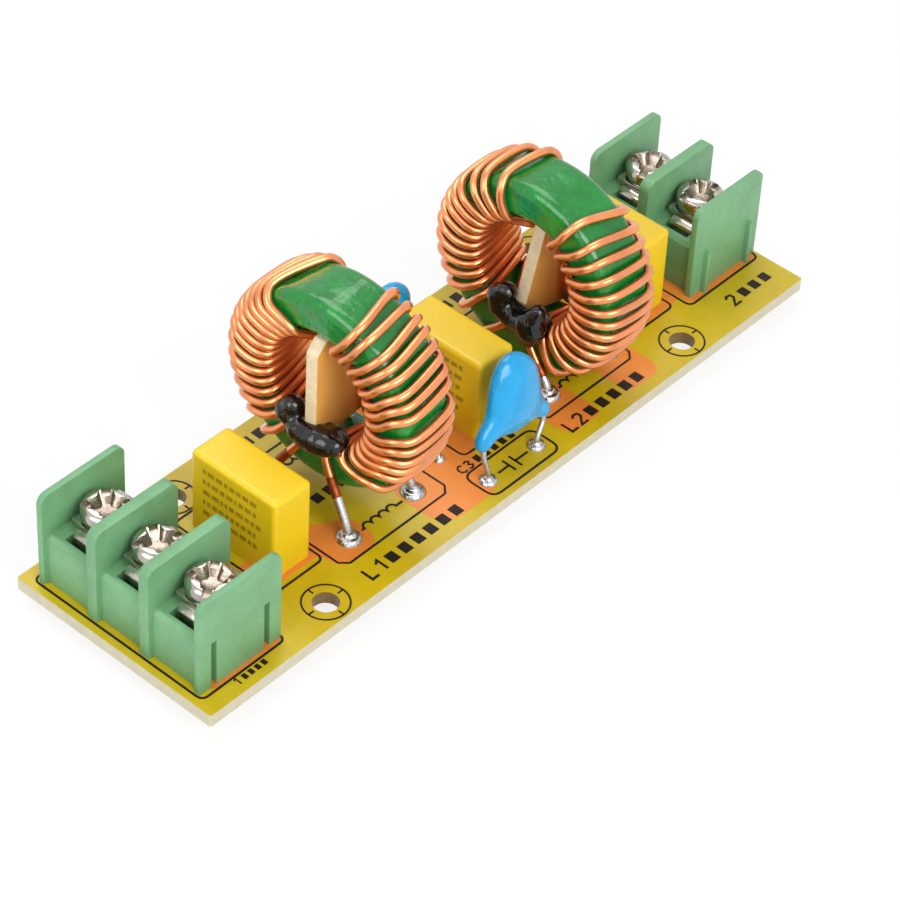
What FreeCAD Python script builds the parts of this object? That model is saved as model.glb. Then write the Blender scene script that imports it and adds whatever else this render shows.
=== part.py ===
"""Mains line filter on a long narrow circuit board.

All lengths are in millimetres. The origin is the centre of the four mounting
holes on the underside of the board. X runs along the board from the three
way input block to the two way output block, Y across it, Z up.
"""
import FreeCAD, Part
import math
import os

os.makedirs("parts", exist_ok=True)
V = FreeCAD.Vector

# Circuit board
BOARD_LENGTH = 97.5
BOARD_WIDTH = 28.6
BOARD_THICKNESS = 1.6
BOARD_CENTRE_X = -0.75
BOARD_CORNER = 0.3
MOUNT_SPACING_X = 58.9
MOUNT_SPACING_Y = 22.7
MOUNT_HOLE = 3.0
HOLE_ROOM = 0.2
PIN_PROJECTION = 1.8
WIRE_PROJECTION = 1.3
TOP = BOARD_THICKNESS

# Solder
SOLDER_PAD = 2.3
PIN_SOLDER_PAD = 2.5
WINDING_SOLDER_PAD = 3.0
SMALL_SOLDER_PAD = 2.2
RESISTOR_SOLDER_PAD = 1.6
SOLDER_HEIGHT = 0.9
WINDING_SOLDER_TOP = 0.7
SMALL_SOLDER_TOP = 0.6
SOLDER_COLLAR = 0.15
CONE_SHARE = 0.3
CONE_LEVEL = 0.45

# Terminal blocks
PITCH = 7.62
BLOCK_DEPTH = 11.9
WALL_HEIGHT = 12.3
WALL_THICKNESS = 1.4
END_WALL_THICKNESS = 0.8
WALL_CORNER = 1.2
BODY_RECESS = 0.65
LEDGE_HEIGHT = 6.7
LEDGE_BEVEL = 0.5
GROOVE_WIDTH = 0.75
GROOVE_DEPTH = 0.8
GROOVE_INSET = 2.1
GROOVE_HEIGHT = 6.3
RIB_ROOM = 0.1
RIB_POINT = 0.5
INPUT_POLES = 3
INPUT_X = -42.3
INPUT_Y = 0.35
OUTPUT_POLES = 2
OUTPUT_X = 41.85
OUTPUT_Y = 0.85

# Terminal plates, washers and screws
PLATE_THICKNESS = 0.65
PLATE_REACH = 3.6
PLATE_WIDTH = 4.4
PLATE_BEND = 1.25
LEG_WIDTH = 3.1
LEG_DEPTH = 4.2
PIN_WIDTH = 1.0
SLOT_GAP = 0.75
SLOT_SIDE_ROOM = 0.2
SLOT_ROOM = 0.1
CLAMP_SIZE = 5.3
CLAMP_THICKNESS = 0.6
CLAMP_CORNER = 0.3
SPRING_WASHER = 4.9
SPRING_THICKNESS = 0.5
SPRING_SPLIT = 0.4
SHANK = 2.9
SHANK_LENGTH = 6.2
SHANK_ROOM = 0.05
BORE_ROOM = 0.2
SCREW_HEAD = 5.6
HEAD_HEIGHT = 1.75
HEAD_ROUND = 0.9
RECESS_WIDTH = 0.95
RECESS_LENGTH = 3.9
RECESS_DEPTH = 1.2
DRIVER_SLOT_WIDTH = 0.8
DRIVER_SLOT_DEPTH = 0.75
INPUT_SCREW_TURNS = [34, 62, 48]
OUTPUT_SCREW_TURNS = [20, 70]

# Film capacitors
FILM_LENGTH = 12.4
FILM_WIDTH = 5.6
FILM_HEIGHT = 10.7
FILM_EDGE = 0.6
FILM_WALL = 0.6
POTTING_RECESS = 0.4
FILM_LEAD = 0.6
FILM_LEAD_PITCH = 10.0
LEAD_EMBEDDED = 2.0
FILM_PLACES = [(-28.15, 0.95), (3.1, 0.3), (30.6, 0.85)]

# Ring cores and their windings
CORE_OUTER = 24.1
CORE_INNER = 14.7
CORE_WIDTH = 7.4
CORE_EDGE = 1.2
WIRE = 1.0
WIRE_SIDES = 8
WIRE_SLACK = 0.15
CORNER_BENDS = 3
OUTER_BEND = 2.1
OUTER_LIFT = 0.17
PAD_PITCH_X = 10.16
PAD_LIFT = 1.0
ENTRY_ANGLE = 168.0
INNER_LEAD = -3.0
DROP_X = 2.5
GLUE_GAP = 0.01
GLUE_CRUMB = 1.0
DROP_SIDES = 12
DROP_BANDS = 6

# Divider plates
DIVIDER_LENGTH = 9.4
DIVIDER_END_ROOM = 0.85
DIVIDER_HEIGHT = CORE_INNER - 2 * DIVIDER_END_ROOM
DIVIDER_THICKNESS = 1.6
DIVIDER_BEVEL = 1.3
DIVIDER_ROOM = 0.05

# Disc capacitors
DISC_DIAMETER = 7.9
DISC_THICKNESS = 3.6
DISC_RIM = 0.9
DISC_HEIGHT = 9.7
DISC_LEAN = 10.0
DISC_LEAD = 0.65
DISC_LEG_TIP = 1.5
DISC_LEG_ROOT = 3.3
DISC_LEG_ROOT_X = 1.9
DISC_LEG_ROOT_DROP = 1.9
DISC_LEG_TIPS = [(-5.8, -5.7), (4.8, -6.7)]
DISC_LEAD_LIFT = 1.2
DISC_LEAD_HELD = 1.6
DISC_PITCH = 8.0
DISC_X = 0.45
DISC_Y = 11.1
DISC_OFFSET = 1.15

# Discharge resistor
RESISTOR_X = -4.7
RESISTOR_PITCH = 10.1
RESISTOR_Y = 0.15
RESISTOR_LENGTH = 6.3
RESISTOR_DIAMETER = 2.4
RESISTOR_WAIST = 2.0
RESISTOR_LEAD = 0.55
RESISTOR_LIFT = 0.5
RESISTOR_CAP = 1.4
RESISTOR_EDGE = 0.3
RESISTOR_BEND = 0.6
RESISTOR_LEAD_HELD = 1.5


# Each choke lists its turns from the top down, as angles from the top of the ring:
# near and far are where a turn crosses the outer rim, inner where it leaves the hole.
CHOKE_1 = {
    "name": "choke_1",
    "centre": V(-15.7, 0.0, TOP + 16.0),
    "yaw": 2.0,
    "divider_tilt": 0.0,
    "divider_shift": V(0.0, 0.0, 0.65),
    "front_near": [24, 31, 41.5, 48, 54.5, 62.5, 69, 76, 88.5, 95.5, 103.5, 110.5, 118, 132],
    "front_far": [18.5, 28, 36, 43, 51, 58, 65, 72, 85, 92.5, 101, 109, 117, 131],
    "front_inner": [18, 28, 39, 48.5, 58, 67.5, 77, 86.5, 95.5, 105, 114, 123.5, 134, 148.5],
    "back_near": [36, 43, 49.5, 56, 62.5, 69.5, 77, 86, 96, 103, 112, 120, 129, 143],
    "back_far": [22, 30, 37, 44, 51, 58, 66, 74, 83, 92, 102, 112, 123, 138],
    "back_inner": [24, 33.5, 43, 52.5, 62, 71.5, 81, 90.5, 100, 109.5, 119, 128.5, 138, 149],
    "pads": V(0.0, -6.5, 0.0),
    "blobs": [(-3.9, 3.5, -5.2, 2.1), (-4.3, 1.3, -6.4, 2.3),
              (-4.4, -1.3, -6.7, 2.3), (-4.2, -3.6, -5.9, 1.9)],
}
CHOKE_2 = {
    "name": "choke_2",
    "centre": V(16.8, -0.5, TOP + 12.9),
    "yaw": 1.0,
    "divider_tilt": 16.0,
    "divider_shift": V(2.2, 0.0, 0.0),
    "front_near": [31.5, 44.5, 54, 64, 73.5, 82.5, 90.5, 99, 107, 115.5, 125, 137, 151],
    "front_far": [39, 49.5, 58, 66, 75, 86, 93.5, 101, 108.5, 116, 124, 135, 149],
    "front_inner": [29, 40, 52, 63, 73.5, 83, 92.5, 102, 111.5, 121, 130.5, 140, 150],
    "back_near": [17.5, 30.5, 39, 51, 58.5, 66, 74.5, 83.5, 93, 102.5, 112, 122, 137],
    "back_far": [13, 28, 38, 48, 57, 65, 73, 82, 91, 101, 111, 121, 134],
    "back_inner": [18, 28, 38, 48, 58, 68, 78, 88, 98, 107.5, 117, 126.5, 137],
    "pads": V(0.0, -6.5, 0.0),
    "blobs": [(-3.9, 3.2, -5.5, 2.2), (-4.6, 1.2, -6.2, 2.4),
              (-5.0, -1.4, -6.7, 2.4), (-4.2, -3.3, -6.2, 1.9)],
}


def box(cx, cy, z, lx, ly, lz):
    """A block standing on height z, centred on cx and cy."""
    return Part.makeBox(lx, ly, lz, V(cx - lx / 2, cy - ly / 2, z))


def rounded_box(cx, cy, z, lx, ly, lz, radius):
    """A block with all its upright edges rounded."""
    block = box(cx, cy, z, lx, ly, lz)
    upright = [e for e in block.Edges if abs(e.BoundBox.ZLength - lz) < 1e-6]
    return block.makeFillet(radius, upright)


def cylinder(cx, cy, z, radius, height):
    """An upright cylinder standing on height z."""
    return Part.makeCylinder(radius, height, V(cx, cy, z))


def fused(shapes):
    """All the shapes joined into one, with the seams taken out."""
    first = shapes[0]
    return first.multiFuse(shapes[1:]).removeSplitter()


def lathe(profile, cx=0.0, cy=0.0):
    """A solid turned about the upright axis from radius and height pairs."""
    points = [V(r, 0, z) for r, z in profile]
    face = Part.Face(Part.makePolygon(points + [points[0]]))
    solid = face.revolve(V(0, 0, 0), V(0, 0, 1), 360)
    solid.translate(V(cx, cy, 0))
    return solid


def ring_around(point, direction, radius, sides):
    """Corner points of the wire's first end, square to its direction."""
    up = V(0, 0, 1) if abs(direction.z) < 0.9 else V(1, 0, 0)
    across = direction.cross(up).normalize()
    other = direction.cross(across).normalize()
    ring = []
    for i in range(sides):
        turn = 2 * math.pi * (i + 0.5) / sides
        ring.append(point + across * (radius * math.cos(turn)) + other * (radius * math.sin(turn)))
    return ring


def carried_ring(ring, point, direction, normal):
    """The same corner points slid along the wire onto the next joint plane."""
    slope = direction.dot(normal)
    return [p + direction * ((point - p).dot(normal) / slope) for p in ring]


def flat_face(points):
    return Part.Face(Part.makePolygon(points + [points[0]]))


def solid_of(faces):
    """One solid inside a closed set of flat faces."""
    skin = Part.makeCompound(faces)
    skin.sewShape()
    solid = Part.Solid(skin.Shells[0])
    if solid.Volume < 0:
        solid.reverse()
    return solid


def drop_ball(centre, radius):
    """A ball of flat faces, for a drop of hardened glue."""
    rings = []
    for i in range(1, DROP_BANDS):
        tilt = math.pi * i / DROP_BANDS
        reach, high = radius * math.sin(tilt), radius * math.cos(tilt)
        turns = [2 * math.pi * j / DROP_SIDES for j in range(DROP_SIDES)]
        rings.append([centre + V(high, reach * math.cos(t), reach * math.sin(t)) for t in turns])
    faces = []
    for tip, ring in ((V(radius, 0, 0), rings[0]), (V(-radius, 0, 0), rings[-1])):
        faces += [flat_face([centre + tip, ring[j - 1], ring[j]]) for j in range(DROP_SIDES)]
    for low, high in zip(rings[:-1], rings[1:]):
        faces += [flat_face([low[j - 1], low[j], high[j], high[j - 1]]) for j in range(DROP_SIDES)]
    return solid_of(faces)


def wire_along(points, diameter, sides=WIRE_SIDES):
    """One wire of flat sides through the points, mitred at every bend."""
    count = len(points)
    ways = [(points[i + 1] - points[i]).normalize() for i in range(count - 1)]
    rings = [ring_around(points[0], ways[0], diameter / 2, sides)]
    for i in range(1, count):
        way = ways[i - 1]
        normal = way if i == count - 1 else (way + ways[i]).normalize()
        rings.append(carried_ring(rings[-1], points[i], way, normal))
    faces = [flat_face(rings[0]), flat_face(rings[-1])]
    for low, high in zip(rings[:-1], rings[1:]):
        for j in range(sides):
            k = (j + 1) % sides
            faces.append(flat_face([low[j], low[k], high[k], high[j]]))
    return solid_of(faces)


def board_places():
    """Every drilled lead: x, y and drilled radius."""
    round_leads = [(x, y, d / 2 + HOLE_ROOM) for x, y, d in round_lead_places()]
    pin_radius = math.hypot(PIN_WIDTH, PLATE_THICKNESS) / 2 + HOLE_ROOM / 2
    pins = [(x, y, pin_radius) for x, y in terminal_pin_places()]
    return round_leads + pins


def circuit_board():
    """The board with its mounting holes and a hole for every lead."""
    board = rounded_box(BOARD_CENTRE_X, 0, 0, BOARD_LENGTH, BOARD_WIDTH,
                        BOARD_THICKNESS, BOARD_CORNER)
    tools = []
    for sx in (-1, 1):
        for sy in (-1, 1):
            tools.append(cylinder(sx * MOUNT_SPACING_X / 2, sy * MOUNT_SPACING_Y / 2, -1,
                                  MOUNT_HOLE / 2, BOARD_THICKNESS + 2))
    for x, y, radius in board_places():
        tools.append(cylinder(x, y, -1, radius, BOARD_THICKNESS + 2))
    return board.cut(tools)


# Terminal blocks are built along Y with the grooved end at -Y and turned later.

def pole_offsets(poles):
    return [(i - (poles - 1) / 2) * PITCH for i in range(poles)]


def wall(y, thickness):
    """One upright wall between two poles, with rounded top corners."""
    plate = box(0, y, 0, BLOCK_DEPTH, thickness, WALL_HEIGHT)
    corners = [e for e in plate.Edges
               if e.BoundBox.YLength > thickness / 2 and e.BoundBox.ZMin > WALL_HEIGHT / 2]
    return plate.makeFillet(WALL_CORNER, corners)


def housing_body(poles):
    """The thick lower part that the plates and screws sit in."""
    depth = BLOCK_DEPTH - 2 * BODY_RECESS
    block = box(0, 0, 0, depth, poles * PITCH, LEDGE_HEIGHT)
    top_edges = [e for e in block.Edges
                 if e.BoundBox.YLength > PITCH and e.BoundBox.ZMin > LEDGE_HEIGHT / 2]
    return block.makeChamfer(LEDGE_BEVEL, top_edges)


def slot_span():
    """Nearest and farthest reach of a leg slot from the block's middle plane."""
    return PLATE_REACH - PLATE_BEND - SLOT_ROOM, PLATE_REACH + SLOT_GAP


def pole_pockets(y):
    """Room for one pole's legs, pins and screw."""
    pockets = [cylinder(0, y, LEDGE_HEIGHT - SHANK_LENGTH, SHANK / 2 + BORE_ROOM, WALL_HEIGHT)]
    near, far = slot_span()
    for side in (-1, 1):
        pockets.append(box(side * (near + far) / 2, y, LEDGE_HEIGHT - LEG_DEPTH - SLOT_ROOM,
                           far - near, LEG_WIDTH + 2 * SLOT_SIDE_ROOM, WALL_HEIGHT))
        pockets.append(box(side * (PLATE_REACH - PLATE_THICKNESS / 2), y, -1,
                           PLATE_THICKNESS + 2 * SLOT_ROOM, PIN_WIDTH + 2 * SLOT_ROOM, LEDGE_HEIGHT))
    return pockets


def end_grooves(poles):
    """Two grooves in the first end wall that take the next block's ribs."""
    y = -(poles * PITCH + END_WALL_THICKNESS) / 2
    x = BLOCK_DEPTH / 2 - GROOVE_INSET
    return [box(side * x, y, -1, GROOVE_WIDTH, 2 * GROOVE_DEPTH, GROOVE_HEIGHT + 1)
            for side in (-1, 1)]


def end_rib(x, y):
    """One upright rib with a pointed top, proud of the last end wall."""
    half = GROOVE_WIDTH / 2 - RIB_ROOM
    height = GROOVE_HEIGHT - RIB_ROOM
    outline = [V(x - half, y, 0), V(x + half, y, 0), V(x + half, y, height - RIB_POINT),
               V(x, y, height), V(x - half, y, height - RIB_POINT)]
    start = END_WALL_THICKNESS / 2
    rib = flat_face(outline).extrude(V(0, start + GROOVE_DEPTH - RIB_ROOM, 0))
    rib.translate(V(0, -start, 0))
    return rib


def terminal_housing(poles):
    """Body, walls, grooves and ribs of one moulded terminal block."""
    row = poles * PITCH
    walls = [wall((i - poles / 2) * PITCH, WALL_THICKNESS) for i in range(1, poles)]
    walls += [wall(side * row / 2, END_WALL_THICKNESS) for side in (-1, 1)]
    rib_x = BLOCK_DEPTH / 2 - GROOVE_INSET
    rib_y = (row + END_WALL_THICKNESS) / 2
    ribs = [end_rib(side * rib_x, rib_y) for side in (-1, 1)]
    solid = fused([housing_body(poles)] + walls + ribs)
    tools = end_grooves(poles)
    for y in pole_offsets(poles):
        tools += pole_pockets(y)
    return solid.cut(tools)


def bent_block(y, reach, width, low, high, bend):
    """A block along X with its two top edges rounded as far as a bend."""
    block = box(0, y, low, 2 * reach, width, high - low)
    bends = [e for e in block.Edges
             if e.BoundBox.YLength > width / 2 and e.BoundBox.ZMin > (low + high) / 2]
    return block.makeFillet(bend, bends)


def terminal_plate(y):
    """Bent metal plate: a flat top and two legs that end in solder pins."""
    foot = LEDGE_HEIGHT - LEG_DEPTH
    top = LEDGE_HEIGHT + PLATE_THICKNESS
    outside = bent_block(y, PLATE_REACH, LEG_WIDTH, foot, top, PLATE_BEND)
    inside = bent_block(y, PLATE_REACH - PLATE_THICKNESS, 2 * LEG_WIDTH, foot - 1, LEDGE_HEIGHT,
                        PLATE_BEND - PLATE_THICKNESS)
    pieces = [outside.cut(inside),
              box(0, y, LEDGE_HEIGHT, 2 * (PLATE_REACH - PLATE_BEND), PLATE_WIDTH, PLATE_THICKNESS)]
    pin_low = -BOARD_THICKNESS - PIN_PROJECTION
    for side in (-1, 1):
        pieces.append(box(side * (PLATE_REACH - PLATE_THICKNESS / 2), y, pin_low,
                          PLATE_THICKNESS, PIN_WIDTH, foot + 1 - pin_low))
    thread_hole = cylinder(0, y, foot, SHANK / 2 + SHANK_ROOM, LEG_DEPTH + 1)
    return fused(pieces).cut(thread_hole)


def clamp_washer(y):
    """Square washer that presses on the wire."""
    low = LEDGE_HEIGHT + PLATE_THICKNESS
    plate = rounded_box(0, y, low, CLAMP_SIZE, CLAMP_SIZE, CLAMP_THICKNESS, CLAMP_CORNER)
    return plate.cut(cylinder(0, y, low - 1, SHANK / 2 + 2 * SHANK_ROOM, 3))


def spring_washer(y, turn):
    """Round washer split once so that it can spring."""
    low = LEDGE_HEIGHT + PLATE_THICKNESS + CLAMP_THICKNESS
    ring = cylinder(0, 0, low, SPRING_WASHER / 2, SPRING_THICKNESS)
    ring = ring.cut(cylinder(0, 0, low - 1, SHANK / 2 + 2 * SHANK_ROOM, 3))
    split = box(SPRING_WASHER / 2, 0, low - 1, SPRING_WASHER, SPRING_SPLIT, 3)
    ring = ring.cut(split)
    ring.rotate(V(0, 0, 0), V(0, 0, 1), turn)
    ring.translate(V(0, y, 0))
    return ring


def screw_head(low):
    """Flat topped round head with a rounded shoulder."""
    radius = SCREW_HEAD / 2
    head = cylinder(0, 0, low, radius, HEAD_HEIGHT)
    rim = [e for e in head.Edges if e.BoundBox.ZMin > low + HEAD_HEIGHT / 2
           and e.BoundBox.ZLength < 1e-6]
    return head.makeFillet(HEAD_ROUND, rim)


def terminal_screw(y, turn):
    """Combination head screw, with a cross and a straight slot."""
    low = LEDGE_HEIGHT + PLATE_THICKNESS + CLAMP_THICKNESS + SPRING_THICKNESS
    top = low + HEAD_HEIGHT
    shank_low = LEDGE_HEIGHT - SHANK_LENGTH + BORE_ROOM
    shank = cylinder(0, 0, shank_low, SHANK / 2, low - shank_low + 0.1)
    body = fused([screw_head(low), shank])
    tools = [box(0, 0, top - RECESS_DEPTH, RECESS_LENGTH, RECESS_WIDTH, 2),
             box(0, 0, top - RECESS_DEPTH, RECESS_WIDTH, RECESS_LENGTH, 2),
             box(0, 0, top - DRIVER_SLOT_DEPTH, SCREW_HEAD + 1, DRIVER_SLOT_WIDTH, 2)]
    screw = body.cut(tools)
    screw.rotate(V(0, 0, 0), V(0, 0, 1), turn)
    screw.translate(V(0, y, 0))
    return screw


def set_on_board(shape, x, y, turn):
    """The shape turned about Z, then stood on the board at x and y."""
    shape.rotate(V(0, 0, 0), V(0, 0, 1), turn)
    shape.translate(V(x, y, TOP))
    return shape


def terminal_block(name, poles, x, y, turn, screw_turns):
    """All the pieces of one terminal block, named after it."""
    rows = pole_offsets(poles)
    groups = {
        "housing": [terminal_housing(poles)],
        "plates": [terminal_plate(r) for r in rows],
        "clamp_washers": [clamp_washer(r) for r in rows],
        "spring_washers": [spring_washer(r, t + 100) for r, t in zip(rows, screw_turns)],
        "screws": [terminal_screw(r, t) for r, t in zip(rows, screw_turns)],
    }
    return {name + "_" + key: [set_on_board(s, x, y, turn) for s in solids]
            for key, solids in groups.items()}


def block_pin_places(poles, cx, cy):
    reach = PLATE_REACH - PLATE_THICKNESS / 2
    return [(cx + side * reach, cy + row) for row in pole_offsets(poles) for side in (-1, 1)]


def terminal_pin_places():
    return (block_pin_places(INPUT_POLES, INPUT_X, INPUT_Y)
            + block_pin_places(OUTPUT_POLES, OUTPUT_X, OUTPUT_Y))


# Film capacitors

def film_case():
    """Moulded box with rounded edges, open at the bottom."""
    shell = box(0, 0, 0, FILM_WIDTH, FILM_LENGTH, FILM_HEIGHT)
    edges = [e for e in shell.Edges if e.BoundBox.ZMax > FILM_HEIGHT / 2]
    shell = shell.makeFillet(FILM_EDGE, edges)
    pocket = box(0, 0, -1, FILM_WIDTH - 2 * FILM_WALL, FILM_LENGTH - 2 * FILM_WALL,
                 FILM_HEIGHT - FILM_WALL + 1)
    return shell.cut(pocket)


def film_lead_offsets():
    return [-FILM_LEAD_PITCH / 2, FILM_LEAD_PITCH / 2]


def film_lead(y):
    low = -BOARD_THICKNESS - PIN_PROJECTION
    return wire_along([V(0, y, low), V(0, y, POTTING_RECESS + LEAD_EMBEDDED)], FILM_LEAD)


def film_potting():
    """Resin that fills the case around the wound element and the lead roots."""
    fill = box(0, 0, POTTING_RECESS, FILM_WIDTH - 2 * FILM_WALL, FILM_LENGTH - 2 * FILM_WALL,
               FILM_HEIGHT - FILM_WALL - POTTING_RECESS)
    return fill.cut([film_lead(y) for y in film_lead_offsets()])


def film_capacitors():
    nodes = {}
    for number, (x, y) in enumerate(FILM_PLACES, 1):
        name = "film_capacitor_%d_" % number
        nodes[name + "case"] = [set_on_board(film_case(), x, y, 0)]
        nodes[name + "potting"] = [set_on_board(film_potting(), x, y, 0)]
        nodes[name + "leads"] = [set_on_board(film_lead(o), x, y, 0) for o in film_lead_offsets()]
    return nodes


# Chokes. Angles are measured from the top of the ring towards the coil's side.

def ring_core():
    """Ring with rounded edges, its axis along X."""
    low, high = CORE_INNER / 2, CORE_OUTER / 2
    half = CORE_WIDTH / 2
    ring = lathe([(low, -half), (high, -half), (high, half), (low, half)])
    rims = [e for e in ring.Edges if e.Closed and e.BoundBox.ZLength < 1e-6]
    ring = ring.makeFillet(CORE_EDGE, rims)
    ring.rotate(V(0, 0, 0), V(0, 1, 0), 90)
    return ring


def ring_point(side, angle, radius, x):
    """Point at an angle from the top; side is -1 for the front coil."""
    turn = math.radians(angle)
    return V(x, side * radius * math.sin(turn), radius * math.cos(turn))


def corner(side, angle, inner, far, first_to_last):
    """Bend points of the wire around one edge of the core, looser at the outer rim."""
    bend = 90.0 / CORNER_BENDS
    edge = CORE_EDGE if inner else OUTER_BEND
    lift = 0.0 if inner else OUTER_LIFT
    radius = (edge + WIRE_SLACK + WIRE / 2) / math.cos(math.radians(bend / 2))
    in_out = -1 if inner else 1
    near_far = 1 if far else -1
    mid_radius = (CORE_INNER if inner else CORE_OUTER) / 2 - in_out * (edge - lift)
    mid_x = near_far * (CORE_WIDTH / 2 - edge + lift)
    points = []
    for i in range(CORNER_BENDS):
        lean = math.radians(bend * (i + 0.5))
        points.append(ring_point(side, angle, mid_radius + in_out * radius * math.cos(lean),
                                 mid_x + near_far * radius * math.sin(lean)))
    return points if first_to_last else points[::-1]


def one_turn(side, far_in, far_out, near_out, near_in):
    """From the hole out over the far face, back over the rim, in at the near face."""
    return (corner(side, far_in, True, True, True)
            + corner(side, far_out, False, True, False)
            + corner(side, near_out, False, False, True)
            + corner(side, near_in, True, False, False))


def coil_turns(side, near, far, inner):
    """All the turns of one coil, wound from the bottom to the top."""
    near_out, far_out, near_in = near[::-1], far[::-1], inner[::-1]
    far_in = [angle + INNER_LEAD for angle in near_in]
    points = []
    for k in range(len(near_out)):
        points += one_turn(side, far_in[k], far_out[k], near_out[k], near_in[k])
    return points


def lead_in(side):
    """From below the hole, in beside the divider at the near face."""
    return corner(side, ENTRY_ANGLE, True, False, False)


def lead_out(side):
    """From the top of the hole down beside the divider and out at the far face."""
    beside = side * (DIVIDER_THICKNESS / 2 + DIVIDER_ROOM + WIRE / 2)
    return [V(0.0, beside, CORE_INNER / 2 - 3.0),
            V(DROP_X, beside, CORE_INNER / 2 - 4.4),
            V(DROP_X, beside, -CORE_INNER / 2 + 2.4)] + corner(side, ENTRY_ANGLE, True, True, True)


def placed_point(choke, p):
    """A point measured from the ring's centre, moved to its place on the board."""
    turn = math.radians(choke["yaw"])
    x = p.x * math.cos(turn) - p.y * math.sin(turn)
    y = p.x * math.sin(turn) + p.y * math.cos(turn)
    return choke["centre"] + V(x, y, p.z)


def pad_place(choke, side, far):
    """Board position of one winding end."""
    x = choke["centre"].x + (PAD_PITCH_X / 2 if far else -PAD_PITCH_X / 2)
    return V(x, -side * choke["pads"].y, 0)


def pad_run(pad):
    """Straight end of the wire through the board."""
    return [V(pad.x, pad.y, -WIRE_PROJECTION), V(pad.x, pad.y, TOP + PAD_LIFT)]


def winding_route(choke, side):
    """Every bend of one coil from pad to pad."""
    key = "front" if side < 0 else "back"
    local = lead_in(side)
    local += coil_turns(side, choke[key + "_near"], choke[key + "_far"], choke[key + "_inner"])
    local += lead_out(side)
    middle = [placed_point(choke, p) for p in local]
    start = pad_run(pad_place(choke, side, False))
    end = pad_run(pad_place(choke, side, True))[::-1]
    return start + middle + end


def divider_plate(choke):
    """Upright insulating plate with bevelled corners through the ring's hole."""
    half, high, cut = DIVIDER_LENGTH / 2, DIVIDER_HEIGHT / 2, DIVIDER_BEVEL
    outline = [V(-half + cut, 0, -high), V(half - cut, 0, -high), V(half, 0, -high + cut),
               V(half, 0, high - cut), V(half - cut, 0, high), V(-half + cut, 0, high),
               V(-half, 0, high - cut), V(-half, 0, -high + cut)]
    plate = flat_face(outline).extrude(V(0, DIVIDER_THICKNESS, 0))
    plate.translate(V(0, -DIVIDER_THICKNESS / 2, 0))
    plate.rotate(V(0, 0, 0), V(0, 1, 0), choke["divider_tilt"])
    plate.translate(choke["divider_shift"])
    return plate


def placed(choke, shape):
    shape.rotate(V(0, 0, 0), V(0, 0, 1), choke["yaw"])
    shape.translate(choke["centre"])
    return shape


def distance_to_run(point, start, end):
    """How far a point is from the straight run between two bends."""
    run = end - start
    share = (point - start).dot(run) / run.dot(run)
    return (start + run * min(max(share, 0.0), 1.0) - point).Length


def held_stretches(route, balls):
    """The stretches of a wire that pass close to the glue, as lists of bends."""
    stretches = []
    last = None
    for i in range(len(route) - 1):
        gaps = [distance_to_run(c, route[i], route[i + 1]) - r for c, r in balls]
        if min(gaps) > WIRE:
            continue
        if last == i - 1:
            stretches[-1].append(route[i + 1])
        else:
            stretches.append([route[i], route[i + 1]])
        last = i
    return stretches


def glue_blob(choke, core, divider, routes):
    """Glue at the foot of the divider, moulded around everything it holds."""
    blobs = [drop_ball(V(x, y, z), r) for x, y, z, r in choke["blobs"]]
    balls = [(placed_point(choke, V(x, y, z)), r) for x, y, z, r in choke["blobs"]]
    moulded = WIRE / math.cos(math.pi / WIRE_SIDES) + GLUE_GAP
    tools = [core, divider]
    for route in routes:
        tools += [wire_along(stretch, moulded) for stretch in held_stretches(route, balls)]
    glue = placed(choke, fused(blobs))
    for tool in tools:
        glue = glue.cut(tool)
    return [solid for solid in glue.Solids if solid.Volume > GLUE_CRUMB]


def choke(data):
    name = data["name"]
    core = placed(data, ring_core())
    divider = placed(data, divider_plate(data))
    routes = [winding_route(data, side) for side in (-1, 1)]
    return {
        name + "_core": [core],
        name + "_winding_front": [wire_along(routes[0], WIRE)],
        name + "_winding_back": [wire_along(routes[1], WIRE)],
        name + "_divider": [divider],
        name + "_glue": glue_blob(data, core, divider, routes),
    }


# Disc capacitors

def disc_profile():
    """Lens shaped section of the coated disc: radius and height pairs."""
    radius, half, rim = DISC_DIAMETER / 2, DISC_THICKNESS / 2, DISC_RIM / 2
    lower = [(0, -half)]
    for share in (0.35, 0.62, 0.84, 0.96):
        bulge = math.sqrt(1 - share * share)
        lower.append((radius * share, -rim / 2 - (half - rim / 2) * bulge))
    return lower + [(radius, 0)] + [(r, -z) for r, z in lower[::-1]]


def in_disc_plane(across, along):
    """A point of the front disc's leaning middle plane, placed on the board."""
    lean = math.radians(DISC_LEAN)
    level = DISC_HEIGHT + along * math.cos(lean)
    back = math.tan(lean) * DISC_HEIGHT + along * math.sin(lean)
    return V(DISC_X + DISC_OFFSET + across, -DISC_Y + back, TOP + level)


def disc_body():
    """Coated disc that flares down into two legs, leaning back from the edge."""
    disc = lathe(disc_profile())
    disc.rotate(V(0, 0, 0), V(1, 0, 0), 90 - DISC_LEAN)
    disc.translate(in_disc_plane(0, 0))
    pieces = [disc]
    for side, tip in zip((-1, 1), DISC_LEG_TIPS):
        root = in_disc_plane(side * DISC_LEG_ROOT_X, -DISC_LEG_ROOT_DROP)
        end = in_disc_plane(*tip)
        way = end - root
        pieces.append(Part.makeCone(DISC_LEG_ROOT / 2, DISC_LEG_TIP / 2, way.Length, root, way))
    return fused(pieces)


def disc_lead(number, tip):
    """Lead from the board up into one leg of the front disc."""
    x = DISC_X + (number - 0.5) * DISC_PITCH
    held = 1 - DISC_LEAD_HELD / math.hypot(*tip)
    return wire_along([V(x, -DISC_Y, -PIN_PROJECTION), V(x, -DISC_Y, TOP + DISC_LEAD_LIFT),
                       in_disc_plane(*tip), in_disc_plane(tip[0] * held, tip[1] * held)],
                      DISC_LEAD)


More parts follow.
